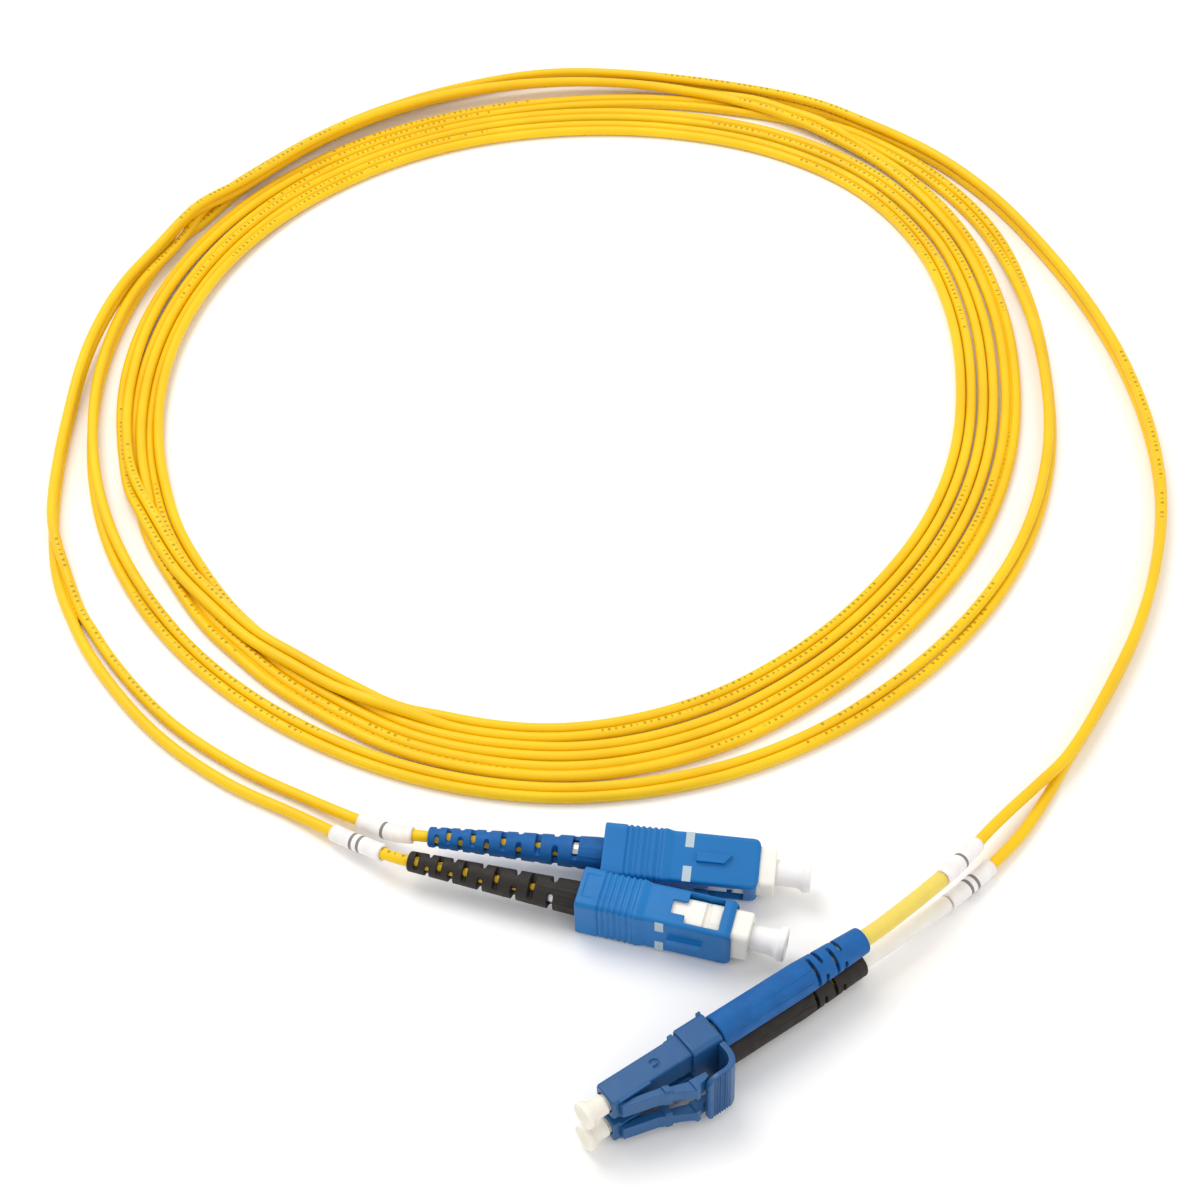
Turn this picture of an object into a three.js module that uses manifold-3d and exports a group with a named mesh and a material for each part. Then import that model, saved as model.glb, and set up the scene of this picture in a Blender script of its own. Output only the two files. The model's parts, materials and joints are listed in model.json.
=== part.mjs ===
// Duplex fibre optic patch cord: two SC plugs at one end, an LC duplex pair at the other,
// and about three metres of yellow twin cord in a loose coil. Millimetres, +Z up.
import * as THREE from 'three';
import { mergeVertices } from 'three/addons/utils/BufferGeometryUtils.js';
import Module from 'manifold-3d';

const wasm = await Module();
wasm.setup();

// ---------------------------------------------------------------- driving sizes

// Clearances
const GAP = 0.3; // between pieces that touch in the real thing
const SLIDE_GAP = 0.25; // between the SC grip housing and what slides in it

// Facets
const SIDES = 16; // round pieces seen from outside
const INNER_SIDES = 12; // boots, and round pieces inside
const FIBER_SIDES = 10;
const SPRING_SIDES = 5;
const SPRING_STEPS = 8; // straight facets in one turn of a spring
const CORD_SIDES = 8;
const SLEEVE_SIDES = 10;
const SLEEVE_STEPS = 5;
const TUBE_STEP = 6.0; // length of one straight facet of the cord's solids
const MOST_STEPS = 80;
const COIL_SIDES = 40;

// Cord
const STRAND_RADIUS = 1.0;
const STRAND_PITCH = 2 * STRAND_RADIUS + GAP; // strand to strand in the twin cord's solids
const FIBER_RADIUS = 0.45; // tight-buffered fibre
const FIBER_BORE = FIBER_RADIUS + 0.2;
const CORD_BORE = STRAND_RADIUS + GAP;
const LABEL_WALL = 0.25;
const LABEL_LENGTH = 11.0;
const CLEAR_SLEEVE_WALL = 0.2;
const CLEAR_SLEEVE_LENGTH = 26.0;
const CLEAR_SLEEVE_DEPTH = 6.0; // how far it reaches into the boot
const SC_LABEL_DISTANCE = 4.0; // from the boot's tip to the label

// SC plug. x = 0 is the front of the grip housing, the plug points along +x, its key is at +z.
const SC_WIDTH = 9.0;
const SC_HEIGHT = 7.4;
const SC_LENGTH = 26.5;
const SC_WALL = 0.55;
const SC_EDGE_RADIUS = 0.7;
const SC_NOSE_RADIUS = 1.4; // the front corners of the key face
const SC_NOSE_SIDE_RADIUS = 0.8;
const SC_COLLAR_STEP = 0.25; // how far the rear stands proud
const SC_COLLAR_RADIUS = 0.8;
const SC_PLAIN_COLLAR = 3.2; // behind the grooves
const SC_GROOVE_COUNT = 6;
const SC_GROOVE_PITCH = 1.15;
const SC_GROOVE_WIDTH = 0.5;
const SC_GROOVE_DEPTH = 0.35;
const SC_KEY_LENGTH = 5.4;
const SC_KEY_WIDTH = 1.6;
const SC_KEY_HEIGHT = 0.8;
const SC_KEY_INSET = 5.3; // from the housing's front
const SC_WINDOW_INSET = 2.4;
const SC_WINDOW_LENGTH = 5.9;
const SC_WINDOW_MARGIN = 1.0; // from the key's face; the far side reaches the opposite wall
const SC_NOTCH_LENGTH = 2.5;
const SC_NOTCH_WIDTH = 2.6;

// SC inner frame and what it holds
const SC_FRAME_WIDTH = SC_WIDTH - 2 * SC_WALL - 2 * SLIDE_GAP;
const SC_FRAME_HEIGHT = SC_HEIGHT - 2 * SC_WALL - 2 * SLIDE_GAP;
const SC_FRAME_WALL = 0.4;
const SC_FRAME_RADIUS = 1.1;
const SC_FRAME_FRONT = 2.65; // it stands this far out of the housing
const SC_FRAME_REAR = 9.0 - SC_LENGTH;
const SC_CHAMBER_RADIUS = SC_FRAME_HEIGHT / 2 - SC_FRAME_WALL;
const SC_MOUTH_DEPTH = 5.0;
const SC_MOUTH_REAR = SC_FRAME_FRONT - SC_MOUTH_DEPTH;
const SC_PARTITION = 2.2; // between the mouth and the spring's chamber
const SC_CHAMBER_FRONT = SC_MOUTH_REAR - SC_PARTITION;
const SC_LATCH_GROOVE = 0.9; // the groove that an adapter's hooks snap into
const SC_LATCH_GROOVE_REAR = -5.3;
const SC_LATCH_DEPTH = 0.7;
const SC_REAR_STEP_LENGTH = 4.9;
const SC_REAR_STEP_DEPTH = 0.35;
const SC_FERRULE_RADIUS = 1.25;
const SC_FERRULE_LENGTH = 10.5;
const SC_FERRULE_TIP = 3.4;
const SC_FLOAT = 1.0; // how far the ferrule can be pushed back
const SC_FLANGE_LENGTH = 3.3;
const SC_STUB_RADIUS = 1.2; // the flange's rear stub, which centres the spring
const SC_STUB_LENGTH = 3.4;
const SC_SPRING_WIRE = 0.25;
const SC_SPRING_TURNS = 5;

// SC rear: the stop ring, the crimp sleeve round it and the boot round both
const SC_STOP_REACH = 2.3; // into the frame
const SC_STOP_FRONT = SC_FRAME_REAR + SC_STOP_REACH;
const SC_STOP_FLANGE = 1.6;
const SC_STOP_REAR = SC_FRAME_REAR - GAP - SC_STOP_FLANGE;
const SC_BARREL_RADIUS = 1.5;
const SC_BARREL_REAR = SC_STOP_REAR - 6.6;
const SC_JACKET_END = SC_BARREL_REAR - 4.2;
const CRIMP_WALL = 0.3;
const CRIMP_NECK = 2.6; // the crimp's narrow end on the cord's jacket
const CRIMP_SHOULDER = 1.6; // from the jacket's end to the crimp's cone
const CRIMP_CONE = 0.8;
const SC_BOOT_LENGTH = 30.0; // from the housing's rear to the boot's tip
const SC_BOOT_TIP = -SC_LENGTH - SC_BOOT_LENGTH;
const SC_BOOT_RADIUS = SC_HEIGHT / 2 - SC_WALL - SLIDE_GAP;
const SC_BOOT_TIP_WALL = 0.4;
const SC_SLOT_WIDTH = 1.0;
const SC_SLOT_SPACINGS = [1.6, 2.0, 2.1, 2.1, 2.4, 2.8, 2.7, 3.2, 3.0, 3.4]; // from the tip
const SC_SLOT_CORE = 0.42; // how much of the boot's radius the slots leave
const SC_CAP_BARREL_RADIUS = SC_CHAMBER_RADIUS - 0.25;
const SC_CAP_FLANGE_RADIUS = 2.95;
const SC_CAP_LENGTH = 5.95; // in front of the frame
const SC_CAP_FLANGE_THICKNESS = 1.0;
const SC_CAP_DEPTH = 4.5; // in the frame's mouth

// LC plug. x = 0 is the nose's front face, the plug points along +x, the lever is at +y.
const LC_PITCH = 6.25; // from one plug's axis to the other's
const LC_NOSE = 4.5; // square nose
const LC_NOSE_LENGTH = 12.8;
const LC_BODY = 4.7; // square rear of the body
const LC_LENGTH = 20.0;
const LC_WALL = 0.5;
const LC_CHAMBER_RADIUS = LC_NOSE / 2 - LC_WALL;
const LC_EDGE_RADIUS = 0.3;
const LC_RIDGE_INSET = 14.0;
const LC_RIDGE_LENGTH = 0.7;
const LC_RIDGE_STEP = 0.35;
const LC_MOUTH_DEPTH = 3.0;
const LC_PARTITION = 1.2;
const LC_CHAMBER_FRONT = -LC_MOUTH_DEPTH - LC_PARTITION;
const LC_FERRULE_RADIUS = 0.625;
const LC_FERRULE_LENGTH = 6.5;
const LC_FERRULE_TIP = 1.3;
const LC_FLOAT = 0.6;
const LC_FLANGE_LENGTH = 2.6;
const LC_STUB_RADIUS = 0.95;
const LC_STUB_LENGTH = 2.6;
const LC_SPRING_WIRE = 0.15;
const LC_SPRING_TURNS = 6;
const LC_STOP_REACH = 6.4;
const LC_STOP_FRONT = LC_STOP_REACH - LC_LENGTH;
const LC_STOP_FLANGE = 0.6;
const LC_STOP_RADIUS = 2.3;
const LC_STOP_REAR = -LC_LENGTH - GAP - LC_STOP_FLANGE;
const LC_BARREL_RADIUS = 1.3;
const LC_BARREL_REAR = LC_STOP_REAR - 5.1;
const LC_JACKET_END = LC_BARREL_REAR - 4.0;
const LC_BOOT_FRONT = LC_STOP_REAR - GAP;
const LC_BOOT_LENGTH = 30.1;
const LC_BOOT_TIP = LC_BOOT_FRONT - LC_BOOT_LENGTH;
const LC_BOOT_TAPER = LC_BOOT_TIP + 13.3;
const LC_BOOT_SPACE = 0.45; // between the two plugs' boots
const LC_BOOT_RADIUS = (LC_PITCH - LC_BOOT_SPACE) / 2;
const LC_BOOT_TIP_WALL = 0.5;
const LC_SLOT_DISTANCES = [10.9, 9.2, 6.9, 5.2]; // from the tip
const LC_SLOT_WIDTH = 0.6;
const LC_SLOT_CORE = 0.9;
const LC_CAP_BARREL_RADIUS = LC_CHAMBER_RADIUS - 0.05;
const LC_CAP_FLARE_RADIUS = 2.35;
const LC_CAP_LENGTH = 4.3;
const LC_CAP_DEPTH = 2.6; // in the nose's mouth
const LC_CAP_WALL = 0.5;

// The latch lever's side: x from the nose's front, y from the lever's root beside the nose.
const LEVER_SIDE = [
  [-1.3, 0.0], [-3.4, 0.0], [-8.0, 1.15], [-12.4, 2.7], [-15.2, 2.95], [-15.2, 3.85], [-14.4, 4.1],
  [-13.3, 4.25], [-12.9, 4.9], [-12.3, 4.9], [-10.6, 3.85], [-8.9, 3.0], [-8.2, 2.8], [-6.8, 2.1],
  [-1.6, 0.75], [-1.3, 0.6],
];
const SHOULDER_SIDE = [[-7.9, 1.25], [-9.0, 1.65], [-9.0, 2.9], [-7.9, 2.5]];
const LEVER_ROOT = LC_NOSE / 2 + GAP;
const LEVER_HEIGHT = 4.45; // the trigger's underside above the lever's root
const LEVER_WIDTH = 2.9;
const LEVER_WAIST = 2.2; // its width between the shoulders and the end
const LEVER_SHOULDER = 3.9; // its width over the latching shoulders

// The clip that holds both LC plugs, and its trigger
const CLIP_LENGTH = 5.6;
const CLIP_OVERHANG = 0.7; // behind the bodies
const CLIP_WALL = 0.45;
const CLIP_RADIUS = 0.7;
const CLIP_REAR = -LC_LENGTH - CLIP_OVERHANG;
const CLIP_FRONT = CLIP_REAR + CLIP_LENGTH;
const CLIP_POCKET = LC_BODY + 2 * GAP;
const CLIP_WIDTH = CLIP_POCKET + 2 * CLIP_WALL;
const TRIGGER_THICKNESS = 1.0;
const TRIGGER_REACH = 6.6; // forward from the clip's rear
const TRIGGER_STEM = 1.2; // straight part of its root
const TRIGGER_CURL = 3.4;
const TRIGGER_MARGIN = 2.2; // past each plug's axis
const TRIGGER_GROOVES = 7;
const TRIGGER_GROOVE_WIDTH = 0.35;
const TRIGGER_GROOVE_DEPTH = 0.25;

// Where the plugs lie, in plan coordinates: x to the right, y to the back, on the floor.
// ORIGIN is the middle of the plugs' footprint, and the part's own origin.
const ORIGIN = new THREE.Vector3(5.6, 214.6, 0);
const SC_B_PLACE = { x: 22.3, y: 223.3, yaw: -15.1, roll: 93.8 };
const SC_A_YAW = -7.2;
const SC_A_ROLL = 18.0;
const SC_A_LEAD = 1.16; // its front is this far ahead of plug B's
const SC_NESTING = 0.27; // their rounded edges lie this much closer than square ones could
const SC_A_PLACE = besideScPlug(SC_B_PLACE, SC_A_YAW, SC_A_ROLL, SC_A_LEAD);
const LC_PLACE = { x: 0.9, y: 189.0, yaw: 215.6, roll: 2.5 };

// The free cord's route in plan coordinates, chosen by hand: x, y and the height of the
// strand's underside.
const LC_LEG_A = [
  [50.4, 226.0, 7.7], [57.4, 233.3, 6.0], [61.8, 238.6, 4.7], [66.0, 244.2, 3.5], [70.4, 249.4, 2.6],
  [75.8, 255.0, 2.3],
];
const LC_LEG_B = [
  [50.8, 225.2, 1.8], [58.4, 231.6, 1.0], [63.0, 235.8, 0.75], [67.4, 240.3, 0.65], [72.5, 246.2, 0.3],
  [77.3, 253.4, 0.1],
];
// The twin cord stands on edge here, strand A above strand B, with B on the floor.
const LC_TAIL = [
  [82.3, 262.0], [92.3, 278.6], [100.2, 294.5], [106.2, 312.3], [109.2, 328.3], [109.6, 344.8],
  [107.3, 364.4], [102.3, 383.5], [95.0, 401.8], [86.0, 419.0], [74.5, 433.5], [60.0, 445.0], [46.0, 453.6],
];
// On this side the pair comes down from its crossing on the coil.
const SC_TAIL = [
  [-105.9, 360.0, 3.05], [-106.6, 347.0, 1.4], [-106.4, 332.0, 0.2], [-105.0, 318.0, 0.1],
];
const SC_LEG_A = [
  [-101.6, 308.2, 1.7], [-98.2, 300.8, 0.9], [-90.3, 287.1, 0.15], [-77.5, 271.7, 0.1], [-63.4, 260.8, 0.1],
  [-50.5, 253.6, 0.3], [-44.6, 250.2, 0.9], [-39.6, 247.3, 1.7], [-34.9, 244.4, 3.0],
];
const SC_LEG_B = [
  [-103.1, 309.0, 0.1], [-100.3, 300.0, 0.1], [-92.4, 285.1, 0.1], [-79.4, 268.7, 0.1], [-65.8, 257.7, 0.1],
  [-53.8, 251.0, 0.3], [-49.2, 248.2, 0.8], [-43.8, 244.6, 1.6], [-39.2, 241.6, 2.8],
];
const FLOOR_GAP = 0.1; // under the strand that lies on the floor
const AXIS_RUN = 2.5; // straight along the boot's axis past its tip

// The coil: an oval ring that the turns fill. Radii are across and along the view.
const COIL_MIDDLE = [-6.5, 360.0];
const COIL_INNER = [78.0, 84.0];
const COIL_OUTER = [97.0, 108.0];
const COIL_BASE = 0.05;
const COIL_HEIGHT = 6.2;
const COIL_CORNER = 0.12; // share of the ring's width that each bevelled corner takes

// ---------------------------------------------------------------- colours

const BLUE = 0x2f78b8;
const LC_BLUE = 0x44709f;
const BOOT_BLUE = 0x1f66b0;
const BLACK = 0x37332e;
const CREAM = 0xf1ece0;
const CAP_NATURAL = 0xebe8e4;
const LABEL_WHITE = 0xf5eeeb;
const YELLOW = 0xfdd014;
const CLEAR_YELLOW = 0xf6e08a;
const ZIRCONIA = 0xf6f4ee;
const METAL = 0xb9bcc0;
const SPRING_STEEL = 0x9a9da0;

function material(color, roughness = 0.5, metalness = 0) {
  return new THREE.MeshStandardMaterial({ color, roughness, metalness });
}

// ---------------------------------------------------------------- solids

// A closed geometry as a solid. Winding is turned outward where a profile ran the other way.
function solid(geometry) {
  const bare = geometry.clone();
  bare.deleteAttribute('normal');
  bare.deleteAttribute('uv');
  const merged = mergeVertices(bare, 1e-5);
  const position = merged.getAttribute('position');
  const index = Uint32Array.from(merged.getIndex().array);
  const a = new THREE.Vector3();
  const b = new THREE.Vector3();
  const c = new THREE.Vector3();
  let volume = 0;
  const kept = [];
  for (let i = 0; i < index.length; i += 3) {
    const [p, q, r] = [index[i], index[i + 1], index[i + 2]];
    const collapsed = p === q || q === r || r === p;
    if (!collapsed) {
      kept.push(p, q, r);
      a.fromBufferAttribute(position, p);
      b.fromBufferAttribute(position, q);
      c.fromBufferAttribute(position, r);
      volume += a.dot(b.cross(c));
    }
  }
  if (volume < 0) {
    for (let i = 0; i < kept.length; i += 3) {
      [kept[i], kept[i + 1]] = [kept[i + 1], kept[i]];
    }
  }
  const mesh = new wasm.Mesh({
    numProp: 3,
    vertProperties: Float32Array.from(position.array),
    triVerts: Uint32Array.from(kept),
  });
  return new wasm.Manifold(mesh);
}

function geometryOf(manifold) {
  const mesh = manifold.getMesh();
  const geometry = new THREE.BufferGeometry();
  geometry.setAttribute('position', new THREE.BufferAttribute(mesh.vertProperties, 3));
  geometry.setIndex(new THREE.BufferAttribute(mesh.triVerts, 1));
  geometry.computeVertexNormals();
  return geometry;
}

function join(first, ...others) {
  return others.reduce((sum, other) => sum.add(other), first);
}

function cut(first, ...tools) {
  return tools.reduce((rest, tool) => rest.subtract(tool), first);
}

// Axis-aligned block between two x, two y and two z values.
function block(x0, x1, y0, y1, z0, z1) {
  const geometry = new THREE.BoxGeometry(x1 - x0, y1 - y0, z1 - z0);
  geometry.translate((x0 + x1) / 2, (y0 + y1) / 2, (z0 + z1) / 2);
  return solid(geometry);
}

// Round solid about the x axis from [x, radius] corners, closed onto the axis or onto itself.
function turned(profile, sides = SIDES) {
  const corners = profile.map(([x, radius]) => new THREE.Vector2(radius, x));
  const geometry = new THREE.LatheGeometry(corners, sides);
  geometry.rotateZ(-Math.PI / 2);
  return solid(geometry);
}

function rod(x0, x1, radius, sides = SIDES) {
  return turned([[x0, 0], [x0, radius], [x1, radius], [x1, 0]], sides);
}

function roundedRectangle(width, height, radius) {
  const [w, h] = [width / 2, height / 2];
  const shape = new THREE.Shape();
  shape.moveTo(-w + radius, -h);
  shape.lineTo(w - radius, -h);
  shape.absarc(w - radius, -h + radius, radius, -Math.PI / 2, 0);
  shape.absarc(w - radius, h - radius, radius, 0, Math.PI / 2);
  shape.absarc(-w + radius, h - radius, radius, Math.PI / 2, Math.PI);
  shape.absarc(-w + radius, -h + radius, radius, Math.PI, 1.5 * Math.PI);
  return shape;
}

// Rounded bar along x, centred on y = z = 0.
function bar(x0, x1, width, height, radius, segments = 2) {
  const geometry = new THREE.ExtrudeGeometry(roundedRectangle(width, height, radius), {
    depth: x1 - x0,
    bevelEnabled: false,
    curveSegments: segments,
  });
  const across = new THREE.Matrix4().makeBasis(
    new THREE.Vector3(0, 1, 0), new THREE.Vector3(0, 0, 1), new THREE.Vector3(1, 0, 0));
  geometry.applyMatrix4(across);
  geometry.translate(x0, 0, 0);
  return solid(geometry);
}

// An outline in x and y, as a plate between two z values.
function plate(shape, z0, z1, segments = 4) {
  const geometry = new THREE.ExtrudeGeometry(shape, {
    depth: z1 - z0,
    bevelEnabled: false,
    curveSegments: segments,
  });
  geometry.translate(0, 0, z0);
  return solid(geometry);
}

function outline(points) {
  return new THREE.Shape(points.map(([x, y]) => new THREE.Vector2(x, y)));
}

// A bar's front end rounded in plan: everything behind x = front within a rounded nose.
function roundedNose(rear, front, width, radius, depth) {
  const half = width / 2;
  const shape = new THREE.Shape();
  shape.moveTo(rear, -half);
  shape.lineTo(front - radius, -half);
  shape.absarc(front - radius, -half + radius, radius, -Math.PI / 2, 0);
  shape.absarc(front - radius, half - radius, radius, 0, Math.PI / 2);
  shape.lineTo(rear, half);
  return plate(shape, -depth / 2, depth / 2);
}

function quarterTurn(manifold) {
  const geometry = geometryOf(manifold);
  geometry.rotateX(Math.PI / 2);
  return solid(geometry);
}

class Helix extends THREE.Curve {
  constructor(x0, x1, radius, turns) {
    super();
    Object.assign(this, { x0, x1, radius, turns });
  }

  getPoint(t) {
    const angle = 2 * Math.PI * this.turns * t;
    const x = this.x0 + (this.x1 - this.x0) * t;
    return new THREE.Vector3(x, this.radius * Math.cos(angle), this.radius * Math.sin(angle));
  }
}

function polygon(radius, sides) {
  const points = [];
  for (let i = 0; i < sides; i += 1) {
    const angle = (2 * Math.PI * i) / sides;
    points.push(new THREE.Vector2(radius * Math.cos(angle), radius * Math.sin(angle)));
  }
  return points;
}

// A tube along a curve; a hollow one when innerRadius is given.
function tube(curve, radius, steps, sides = CORD_SIDES, innerRadius = 0) {
  const section = new THREE.Shape(polygon(radius, sides));
  if (innerRadius > 0) {
    section.holes.push(new THREE.Path(polygon(innerRadius, sides).reverse()));
  }
  return solid(new THREE.ExtrudeGeometry(section, { steps, extrudePath: curve, bevelEnabled: false }));
}

// ---------------------------------------------------------------- SC plug

const REACH = 20; // past any plug's surface, for cutting tools

// How far a rolled SC housing reaches to either side of its axis, in plan.
function scHalfSpan(roll) {
  const angle = THREE.MathUtils.degToRad(roll);
  const halfWidth = SC_WIDTH / 2 + SC_COLLAR_STEP;
  const halfHeight = SC_HEIGHT / 2 + SC_COLLAR_STEP;
  return halfWidth * Math.abs(Math.cos(angle)) + halfHeight * Math.abs(Math.sin(angle));
}

// The place of a plug to the left of another, its rear corner against the other's side.
function besideScPlug(other, yaw, roll, lead) {
  const heading = THREE.MathUtils.degToRad(other.yaw);
  const spread = THREE.MathUtils.degToRad(yaw - other.yaw);
  const across = scHalfSpan(other.roll) + scHalfSpan(roll) + SC_LENGTH * Math.sin(spread) - SC_NESTING;
  const x = other.x + lead * Math.cos(heading) - across * Math.sin(heading);
  const y = other.y + lead * Math.sin(heading) + across * Math.cos(heading);
  return { x, y, yaw, roll };
}

function scGripHousing() {
  const collarWidth = SC_WIDTH + 2 * SC_COLLAR_STEP;
  const collarHeight = SC_HEIGHT + 2 * SC_COLLAR_STEP;
  const groovesRear = SC_PLAIN_COLLAR - SC_LENGTH;
  const collarFront = groovesRear + SC_GROOVE_COUNT * SC_GROOVE_PITCH;
  const shell = bar(-SC_LENGTH, 0, SC_WIDTH, SC_HEIGHT, SC_EDGE_RADIUS)
    .intersect(roundedNose(-SC_LENGTH, 0, SC_WIDTH, SC_NOSE_RADIUS, REACH))
    .intersect(quarterTurn(roundedNose(-SC_LENGTH, 0, SC_HEIGHT, SC_NOSE_SIDE_RADIUS, REACH)));
  const collar = bar(-SC_LENGTH, collarFront, collarWidth, collarHeight, SC_COLLAR_RADIUS);
  const keyFront = -SC_KEY_INSET;
  const key = block(keyFront - SC_KEY_LENGTH, keyFront, -SC_KEY_WIDTH / 2, SC_KEY_WIDTH / 2,
    SC_HEIGHT / 2 - SC_WALL / 2, SC_HEIGHT / 2 + SC_KEY_HEIGHT);
  let housing = join(shell, collar, key);
  const coreY = collarWidth / 2 - SC_GROOVE_DEPTH;
  const coreZ = collarHeight / 2 - SC_GROOVE_DEPTH;
  const core = block(-REACH - SC_LENGTH, REACH, -coreY, coreY, -coreZ, coreZ);
  for (let i = 0; i < SC_GROOVE_COUNT; i += 1) {
    const x = groovesRear + i * SC_GROOVE_PITCH;
    const around = block(x, x + SC_GROOVE_WIDTH, -REACH, REACH, -REACH, REACH);
    housing = cut(housing, cut(around, core));
  }
  const bore = bar(-SC_LENGTH - 1, 1, SC_WIDTH - 2 * SC_WALL, SC_HEIGHT - 2 * SC_WALL, SC_EDGE_RADIUS / 2);
  const windowRear = -SC_WINDOW_INSET - SC_WINDOW_LENGTH;
  const window = block(windowRear, -SC_WINDOW_INSET, -REACH, REACH,
    SC_WALL - SC_HEIGHT / 2, SC_HEIGHT / 2 - SC_WINDOW_MARGIN);
  const notch = block(windowRear - SC_NOTCH_LENGTH, windowRear + GAP, -REACH, REACH,
    -SC_NOTCH_WIDTH / 2, SC_NOTCH_WIDTH / 2);
  return cut(housing, bore, window, notch);
}

function scInnerFrame() {
  const body = bar(SC_FRAME_REAR, SC_FRAME_FRONT, SC_FRAME_WIDTH, SC_FRAME_HEIGHT, SC_FRAME_RADIUS, 3);
  const mouth = rod(SC_MOUTH_REAR, SC_FRAME_FRONT + 1, SC_CHAMBER_RADIUS, INNER_SIDES);
  const guide = rod(SC_CHAMBER_FRONT - 1, SC_MOUTH_REAR + 1, SC_FERRULE_RADIUS + GAP, INNER_SIDES);
  const chamber = rod(SC_FRAME_REAR - 1, SC_CHAMBER_FRONT, SC_CHAMBER_RADIUS, INNER_SIDES);
  const grooveEdge = SC_FRAME_WIDTH / 2 - SC_LATCH_DEPTH;
  const stepEdge = SC_FRAME_WIDTH / 2 - SC_REAR_STEP_DEPTH;
  const grooveFront = SC_LATCH_GROOVE_REAR + SC_LATCH_GROOVE;
  const stepFront = SC_FRAME_REAR + SC_REAR_STEP_LENGTH;
  const grooves = block(SC_LATCH_GROOVE_REAR, grooveFront, -REACH, REACH, -REACH, REACH)
    .subtract(block(-REACH, REACH, -grooveEdge, grooveEdge, -REACH, REACH));
  const steps = block(SC_FRAME_REAR - 1, stepFront, -REACH, REACH, -REACH, REACH)
    .subtract(block(SC_FRAME_REAR - REACH, REACH, -stepEdge, stepEdge, -REACH, REACH));
  return cut(body, mouth, guide, chamber, grooves, steps);
}

function scFerrule() {
  const rear = SC_FERRULE_TIP - SC_FERRULE_LENGTH;
  const chamfer = 0.35;
  return turned([[rear, 0], [rear, SC_FERRULE_RADIUS], [SC_FERRULE_TIP - chamfer, SC_FERRULE_RADIUS],
    [SC_FERRULE_TIP, SC_FERRULE_RADIUS - chamfer], [SC_FERRULE_TIP, 0]], INNER_SIDES);
}

// The metal holder pressed on a ferrule's rear: a flange, a socket for the ferrule and a stub.
function ferruleFlange({ front, length, radius, stubLength, stubRadius, ferruleRadius, ferruleRear }) {
  const rear = front - length;
  const stubRear = rear - stubLength;
  const socket = ferruleRadius + GAP;
  const chamfer = (radius - socket) * 0.6;
  const socketRear = ferruleRear - GAP;
  return turned([[stubRear, FIBER_BORE], [stubRear, stubRadius], [rear, stubRadius], [rear, radius],
    [front - chamfer, radius], [front, radius - chamfer], [front, socket], [socketRear, socket],
    [socketRear, FIBER_BORE], [stubRear, FIBER_BORE]], INNER_SIDES);
}

const SC_FLANGE = {
  front: SC_CHAMBER_FRONT - GAP,
  length: SC_FLANGE_LENGTH,
  radius: SC_CHAMBER_RADIUS - GAP,
  stubLength: SC_STUB_LENGTH,
  stubRadius: SC_STUB_RADIUS,
  ferruleRadius: SC_FERRULE_RADIUS,
  ferruleRear: SC_FERRULE_TIP - SC_FERRULE_LENGTH,
};

// A compression spring between a flange's rear and the piece that stops it.
function flangeSpring(flange, stopFront, chamberRadius, wire, turns) {
  const radius = (chamberRadius + flange.stubRadius) / 2;
  const rear = stopFront + GAP + wire;
  const front = flange.front - flange.length - GAP - wire;
  return tube(new Helix(rear, front, radius, turns), wire, turns * SPRING_STEPS, SPRING_SIDES);
}

// The buffered fibre rides back with the ferrule, so its rear keeps that much room.
function bufferedFiber(rear, flange) {
  return rod(rear + GAP, flange.ferruleRear - 2 * GAP, FIBER_RADIUS, FIBER_SIDES);
}

// A stop: its front closes the spring's chamber and its rear barrel takes the crimp.
function stopPiece({ front, collar, collarRear, collarRadius, chamberRadius, barrelRear, barrelRadius }) {
  const plug = chamberRadius - GAP;
  return turned([[barrelRear, FIBER_BORE], [barrelRear, barrelRadius], [collarRear, barrelRadius],
    [collarRear, collarRadius], [collar, collarRadius], [collar, plug], [front, plug],
    [front, FIBER_BORE], [barrelRear, FIBER_BORE]], INNER_SIDES);
}

// A crimp sleeve: wide round the stop's barrel, narrow round the cord's jacket.
function crimpSleeve(front, barrelRadius, jacketEnd) {
  const rear = jacketEnd - CRIMP_NECK;
  const neck = CORD_BORE + CRIMP_WALL;
  const bore = barrelRadius + GAP;
  const wide = bore + CRIMP_WALL;
  const coneRear = jacketEnd + CRIMP_SHOULDER;
  const coneFront = coneRear + CRIMP_CONE;
  return turned([[rear, CORD_BORE], [rear, neck], [coneRear, neck], [coneFront, wide], [front, wide],
    [front, bore], [coneFront, bore], [coneRear, CORD_BORE], [rear, CORD_BORE]], INNER_SIDES);
}

// Pairs of slots across a boot, each pair turned a quarter from the last.
function slotPair(x, width, core, angle) {
  const slab = block(x - width / 2, x + width / 2, -REACH, REACH, -REACH, REACH);
  const middle = block(x - width, x + width, -REACH, REACH, -core, core);
  const geometry = geometryOf(cut(slab, middle));
  geometry.rotateX(angle);
  return solid(geometry);
}

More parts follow.
